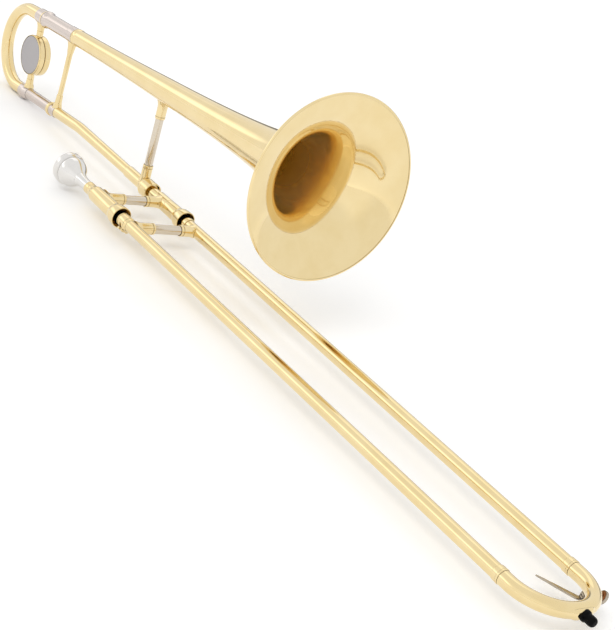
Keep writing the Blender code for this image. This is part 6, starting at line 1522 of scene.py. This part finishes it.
def make_crook_ferrules():
    radius = CROOK_FERRULE_RADIUS
    bore = CROOK_RADIUS + 0.0001
    leg = UPPER_INNER_LEG_RADIUS
    start = UPPER_CROOK_FERRULE_START
    seat = start + 0.0055
    ring_start = UPPER_LEG_START - SEAT - 0.0033
    ring_end = UPPER_LEG_START - 0.0014
    end = ring_start - 0.0001
    turned_piece("crook_ferrule_upper_turned", "tuning_slide", "crook_ferrule_upper", [
        (start, bore, FINE), (start, radius - 0.0006, 0.0003), (start + 0.001, radius, 0.0005),
        (end - 0.0004, radius, 0.0002), (end, radius - 0.0004, FINE), (end, leg, FINE), (seat, leg, FINE),
        (seat, bore, FINE)], BELL, "nickel leg")
    ring = leg + SEAT + 0.0011
    turned_piece("leg_ring_upper_turned", "tuning_slide", "leg_ring_upper", [
        (ring_start, leg, FINE), (ring_start, ring - 0.0003, FINE), (ring_start + 0.0005, ring, 0.0003),
        (ring_end - 0.0004, ring, 0.0003), (ring_end, ring - 0.0004, FINE), (ring_end, leg, FINE)],
                 BELL, "turned brass")
    start = LOWER_CROOK_FERRULE_START
    seat = start + 0.0055
    leg = LOWER_INNER_LEG_RADIUS
    turned_piece("crook_ferrule_lower_turned", "tuning_slide", "crook_ferrule_lower",
                 [(start, bore, FINE)] + lower_ferrule_outline(0.0)
                 + [(LOWER_LEG_START - SEAT, leg, FINE), (seat, leg, FINE), (seat, bore, FINE)],
                 LEG, "nickel leg")


def make_inner_legs():
    for name, start, reach, radius, wall, matrix in (
            ("inner_leg_upper", -0.4044, UPPER_LEG_START + 0.05, UPPER_INNER_LEG_RADIUS, 0.0005, BELL),
            ("inner_leg_lower", -0.4139, LOWER_LEG_START + 0.05, LOWER_INNER_LEG_RADIUS, 0.0004, LEG)):
        turned_piece(name + "_drawn", "tuning_slide", name, tube_outline(start, reach, radius - wall, radius), matrix,
                     "nickel leg", edge=FINE)


def make_counterweight():
    half = DRUM_THICKNESS / 2
    radius = DRUM_RADIUS
    disc = 0.0233
    seam = 0.00005
    centre = BELL @ Matrix.Translation((DRUM_STATION, 0, -CROOK_ARC))
    near = centre @ TO_MOUTHPIECE_SIDE
    far = centre @ TO_BELL_SIDE
    shell = [(seam, 0.0), (seam, radius - 0.0012, 0.0002), (0.0008, radius, 0.0004)]
    turned_piece("counterweight_near_half", "tuning_slide", "counterweight_left", [
        *shell, (half - 0.0012, radius, 0.0006), (half, radius - 0.0007, 0.0004), (half, disc + 0.0006, FINE),
        (half - 0.0011, disc + 0.0005, FINE), (half - 0.0011, 0.0)], near, "turned brass", 160, False)
    turned_piece("counterweight_far_half", "tuning_slide", "counterweight_right", [
        *shell, (half - 0.0018, radius, 0.0008), (half - 0.0004, radius - 0.0006, 0.0006),
        (half, radius - 0.002, 0.0006), (half, 0.0)], far, "turned brass", 160, False)
    turned_piece("counterweight_disc_turned", "tuning_slide", "counterweight_disc", [
        (half - 0.00105, 0.0), (half - 0.00105, disc, FINE), (half - 0.0002, disc, 0.0002),
        (half, disc - 0.0003, 0.0002), (half, disc - 0.0018, 0.0002), (half - 0.00015, disc - 0.002, FINE),
        (half - 0.00015, 0.0)], near, "weight face", 160, False)
    base = CROOK_FERRULE_RADIUS
    end = CROOK_ARC - radius
    reach = CROOK_ARC - radius * 0.9
    upper_cover = [(x, base - PLAY) for x in (-0.4042 - 0.012, -0.4042 + 0.012)]
    lower_cover = lower_ferrule_outline(-PLAY) + [(-0.407 + 0.012, LOWER_LEG_RADIUS)]
    for name, station, height, turn, leg, cover in (
            ("weight_post_upper", -0.4042, 0, math.pi / 2, BELL, upper_cover),
            ("weight_post_lower", -0.407, -LEG_SPACING, -math.pi / 2, LEG, lower_cover)):
        matrix = BELL @ Matrix.Translation((station, 0, height)) @ Matrix.Rotation(turn, 4, "Y")
        post = turned(name + "_turned", [
            (base * 0.72, 0.0), (base * 0.72, 0.0064), (base + 0.0006, 0.0056, 0.0008), (base + 0.0024, 0.0048, 0.001),
            (end - 0.0068, 0.0043, 0.001), (end - 0.0066, 0.0041, 0.0), (end - 0.0062, 0.0041, 0.0),
            (end - 0.006, 0.0044, FINE), (end - 0.0008, 0.0042, 0.0004), (reach, 0.0042), (reach, 0.0)],
                      matrix, "turned brass", 64, False)
        carve(post, cut=(cutter(cover, leg, 96, None), rod_cutter(-half - 0.002, half + 0.002, radius - 0.0001, far)))
        dress(post, "tuning_slide", name)


def paint_leadpipe():
    """The leadpipe, hidden inside the receiver, keeps its packed shape and gets its finish."""
    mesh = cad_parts["leadpipe"].data
    mesh.materials.clear()
    mesh.materials.append(finish("tube brass"))


# Stage

def white_rays(tree):
    """1 for rays of the eye, mirrors and glass, which should see white, and 0 for rays that carry light."""
    path = add(tree, "ShaderNodeLightPath").outputs
    mirror = add(tree, "ShaderNodeMath", operation="MAXIMUM",
                 links={0: path["Is Glossy Ray"], 1: path["Is Camera Ray"]})
    through = add(tree, "ShaderNodeMath", operation="MAXIMUM",
                  links={0: mirror.outputs[0], 1: path["Is Transmission Ray"]})
    return path, through.outputs[0]


def make_floor():
    look = bpy.context.scene.trombone_stage
    bm = bmesh.new()
    bmesh.ops.create_circle(bm, cap_ends=True, segments=96, radius=6.0)
    for vert in bm.verts:
        vert.co.z -= 0.0002
    mesh = bpy.data.meshes.new("floor")
    bm.to_mesh(mesh)
    bm.free()
    mat, tree, shader = new_material("pale_paper_floor")
    shader.inputs["Roughness"].default_value = 0.9
    shader.inputs["Specular IOR Level"].default_value = 0.1
    shader.inputs["Emission Color"].default_value = (1, 1, 1, 1)
    place = add(tree, "ShaderNodeTexCoord").outputs["Object"]
    fibres = add(tree, "ShaderNodeTexNoise", values={"Scale": 600.0, "Detail": 2.0}, links={"Vector": place})
    pale = colour(look.floor)
    tint = add(tree, "ShaderNodeMix", data_type="RGBA", values={6: pale, 7: (*[v * 0.992 for v in pale[:3]], 1)},
               links={0: fibres.outputs[0]})
    finish_shader(tree, shader, tint)
    # The paper shows as white to the eye and in the metal, and keeps the shadow. Far from the lamps
    # it is lifted a little more, so that it stays as white as it is near the object.
    away = add(tree, "ShaderNodeVectorMath", operation="LENGTH", links={0: place})
    far = add(tree, "ShaderNodeMapRange", interpolation_type="SMOOTHSTEP", links={"Value": away.outputs["Value"]},
              values={"From Min": 0.9, "From Max": 3.0, "To Min": look.floor_lift, "To Max": look.floor_lift + 0.16})
    lift = add(tree, "ShaderNodeMath", operation="MULTIPLY", links={0: white_rays(tree)[1], 1: far.outputs[0]})
    tree.links.new(lift.outputs[0], shader.inputs["Emission Strength"])
    mesh.materials.append(mat)
    linked("floor", mesh)


def make_light():
    look = bpy.context.scene.trombone_stage
    world = bpy.data.worlds.new("studio")
    bpy.context.scene.world = world
    world.use_nodes = True
    tree = world.node_tree
    tree.nodes.clear()
    ray = add(tree, "ShaderNodeTexCoord")
    way = add(tree, "ShaderNodeSeparateXYZ", links={"Vector": ray.outputs["Generated"]})

    # What metal mirrors: a white room with one low grey curtain behind the far side of the slide,
    # a pale strip over it, and on the camera's side a brighter wall with a long soft box. Each has
    # soft edges: axis, from, to.
    zones = {"curtain": (("Z", -0.1, 0.02), ("Z", 0.24, 0.1), ("Y", 0.2, 0.5), ("X", 0.05, -0.35)),
             "wall": (("Y", -0.15, -0.6), ("Z", 0.75, 0.45)),
             "soft box": (("Y", -0.1, -0.35), ("Z", 0.16, 0.26), ("Z", 0.5, 0.36), ("X", -0.2, -0.45)),
             "far strip": (("Y", 0.05, 0.15), ("Y", 0.55, 0.42), ("Z", 0.42, 0.52), ("X", -0.2, -0.45))}
    share = {}
    for name, edges in zones.items():
        for axis, start, end in edges:
            edge = add(tree, "ShaderNodeMapRange", interpolation_type="SMOOTHSTEP",
                       values={"From Min": start, "From Max": end}, links={"Value": way.outputs[axis]})
            if name in share:
                edge = add(tree, "ShaderNodeMath", operation="MULTIPLY", links={0: share[name], 1: edge.outputs[0]})
            share[name] = edge.outputs[0]
    lit = add(tree, "ShaderNodeMath", operation="MULTIPLY_ADD", values={1: 0.1, 2: ROOM_STRENGTH},
              links={0: share["wall"]})
    for name, gain in (("far strip", 0.3), ("soft box", 0.55)):
        lit = add(tree, "ShaderNodeMath", operation="MULTIPLY_ADD", values={1: gain},
                  links={0: share[name], 2: lit.outputs[0]})
    shade = add(tree, "ShaderNodeMath", operation="MULTIPLY_ADD", values={1: -look.curtain, 2: 1.0},
                links={0: share["curtain"]})
    room = add(tree, "ShaderNodeMath", operation="MULTIPLY", links={0: lit.outputs[0], 1: shade.outputs[0]})
    path, seen_rays = white_rays(tree)
    white = add(tree, "ShaderNodeMath", operation="MAXIMUM", links={0: room.outputs[0], 1: path["Is Camera Ray"]})
    seen = add(tree, "ShaderNodeBackground", values={"Color": (1, 1, 1, 1)}, links={"Strength": white.outputs[0]})
    plain = add(tree, "ShaderNodeBackground", values={"Color": (1, 1, 1, 1), "Strength": look.sky})
    mix = add(tree, "ShaderNodeMixShader", links={0: seen_rays, 1: plain.outputs[0], 2: seen.outputs[0]})
    add(tree, "ShaderNodeOutputWorld", links={"Surface": mix.outputs[0]})
    lamps = (("key", (0.9, -1.6, 2.1), 1.6, look.key), ("fill", (-1.6, 1.0, 1.5), 1.8, look.fill))
    for name, spot, size, power in lamps:
        lamp = bpy.data.lights.new(name + "_lamp", "AREA")
        lamp.shape = "SQUARE"
        lamp.size = size
        lamp.energy = power
        obj = linked(name + "_lamp", lamp)
        obj.location = spot
        aim = Vector((0.0, 0.0, 0.05)) - Vector(spot)
        obj.rotation_euler = aim.to_track_quat("-Z", "Y").to_euler()
        # A square lamp would show its outline in the polished bell.
        obj.visible_glossy = False


def make_camera():
    """Camera where the photograph was taken from, in the slide frame."""
    turn = Matrix((CAMERA_RIGHT, -CAMERA_DOWN, -CAMERA_FORWARD)).transposed().to_4x4()
    camera = bpy.data.cameras.new("camera")
    camera.sensor_width = 36.0
    camera.lens = CAMERA_LENS
    camera.clip_start = 0.05
    camera.clip_end = 50.0
    obj = linked("camera", camera)
    obj.matrix_world = Matrix.Translation(SLIDE.translation + CAMERA_PLACE) @ turn
    bpy.context.scene.camera = obj


# Operators

class TROMBONE_OT_mouthpiece(bpy.types.Operator):
    """Turn the silver-plated mouthpiece and its receiver"""
    bl_idname = "trombone.mouthpiece"
    bl_label = "Mouthpiece and Receiver"

    def execute(self, context):
        make_mouthpiece()
        make_receiver()
        return {"FINISHED"}


class TROMBONE_OT_inner_slide(bpy.types.Operator):
    """Make the inner slide: its tubes, cork barrels, tenon, collar and brace"""
    bl_idname = "trombone.inner_slide"
    bl_label = "Inner Slide"

    def execute(self, context):
        make_inner_tubes()
        make_barrels()
        make_tenon()
        make_inner_brace()
        return {"FINISHED"}


class TROMBONE_OT_outer_slide(bpy.types.Operator):
    """Make the outer slide: its tubes, sleeves and brace"""
    bl_idname = "trombone.outer_slide"
    bl_label = "Outer Slide"

    def execute(self, context):
        make_outer_tubes()
        make_outer_brace()
        return {"FINISHED"}


class TROMBONE_OT_slide_lock(bpy.types.Operator):
    """Make the turning lock ring"""
    bl_idname = "trombone.slide_lock"
    bl_label = "Slide Lock"

    def execute(self, context):
        make_slide_lock()
        return {"FINISHED"}


class TROMBONE_OT_bow(bpy.types.Operator):
    """Bend the bow and add its ferrules, guard plate and rubber bumper"""
    bl_idname = "trombone.bow"
    bl_label = "Bow, Guard and Bumper"

    def execute(self, context):
        make_bow()
        make_guard()
        make_bumper()
        return {"FINISHED"}


class TROMBONE_OT_water_key(bpy.types.Operator):
    """Make the water key with its nipple, saddle, pin, spring, lever and cork"""
    bl_idname = "trombone.water_key"
    bl_label = "Water Key"

    def execute(self, context):
        make_water_key()
        return {"FINISHED"}


class TROMBONE_OT_bell(bpy.types.Operator):
    """Spin the bell and roll its rim over the wire"""
    bl_idname = "trombone.bell"
    bl_label = "Bell and Rim"

    def execute(self, context):
        make_bell()
        make_rim()
        return {"FINISHED"}


class TROMBONE_OT_bell_tubes(bpy.types.Operator):
    """Make the legs, ferrules, neckpipe, slide receiver and lock nut"""
    bl_idname = "trombone.bell_tubes"
    bl_label = "Legs, Neckpipe and Lock Nut"

    def execute(self, context):
        make_upper_leg()
        make_lower_leg()
        make_neckpipe()
        make_slide_receiver()
        return {"FINISHED"}


class TROMBONE_OT_bell_braces(bpy.types.Operator):
    """Make the two braces of the bell section"""
    bl_idname = "trombone.bell_braces"
    bl_label = "Bell Braces"

    def execute(self, context):
        make_front_brace()
        make_rear_brace()
        return {"FINISHED"}


class TROMBONE_OT_tuning_slide(bpy.types.Operator):
    """Bend the tuning crook and add its ferrules, legs and balance weight"""
    bl_idname = "trombone.tuning_slide"
    bl_label = "Tuning Slide and Weight"

    def execute(self, context):
        make_crook()
        make_crook_ferrules()
        make_inner_legs()
        make_counterweight()
        paint_leadpipe()
        return {"FINISHED"}


class TROMBONE_OT_stage(bpy.types.Operator):
    """Lay the floor and set the light and the camera"""
    bl_idname = "trombone.stage"
    bl_label = "Floor, Light and Camera"

    def execute(self, context):
        make_floor()
        make_light()
        make_camera()
        scene = context.scene
        scene.view_settings.view_transform = "Standard"
        return {"FINISHED"}


OPERATORS = (TROMBONE_OT_stage, TROMBONE_OT_bell, TROMBONE_OT_bell_tubes, TROMBONE_OT_bell_braces,
             TROMBONE_OT_tuning_slide, TROMBONE_OT_mouthpiece, TROMBONE_OT_inner_slide, TROMBONE_OT_outer_slide,
             TROMBONE_OT_slide_lock, TROMBONE_OT_bow, TROMBONE_OT_water_key)
GROUPS = (("trombone_bell", BellSizes), ("trombone_tubes", TubeSizes), ("trombone_finishes", Finishes),
          ("trombone_stage", StageSettings))


class TROMBONE_PT_panel(bpy.types.Panel):
    """Pieces and settings of the trombone"""
    bl_idname = "TROMBONE_PT_panel"
    bl_label = "Tenor Trombone"
    bl_space_type = "VIEW_3D"
    bl_region_type = "UI"
    bl_category = "Trombone"

    def draw(self, context):
        layout = self.layout
        for attribute, group in GROUPS:
            box = layout.box()
            box.label(text=group.__doc__)
            settings = getattr(context.scene, attribute)
            for name in group.__annotations__:
                box.prop(settings, name)
        for operator in OPERATORS:
            layout.operator(operator.bl_idname)


def register():
    for attribute, group in GROUPS:
        bpy.utils.register_class(group)
        setattr(bpy.types.Scene, attribute, PointerProperty(type=group))
    for operator in OPERATORS:
        bpy.utils.register_class(operator)
    bpy.utils.register_class(TROMBONE_PT_panel)


def unregister():
    bpy.utils.unregister_class(TROMBONE_PT_panel)
    for operator in reversed(OPERATORS):
        bpy.utils.unregister_class(operator)
    for attribute, group in reversed(GROUPS):
        delattr(bpy.types.Scene, attribute)
        bpy.utils.unregister_class(group)


def main():
    register()
    for operator in OPERATORS:
        group, name = operator.bl_idname.split(".")
        getattr(getattr(bpy.ops, group), name)()
    bpy.context.view_layer.update()


if __name__ == "__main__":
    main()
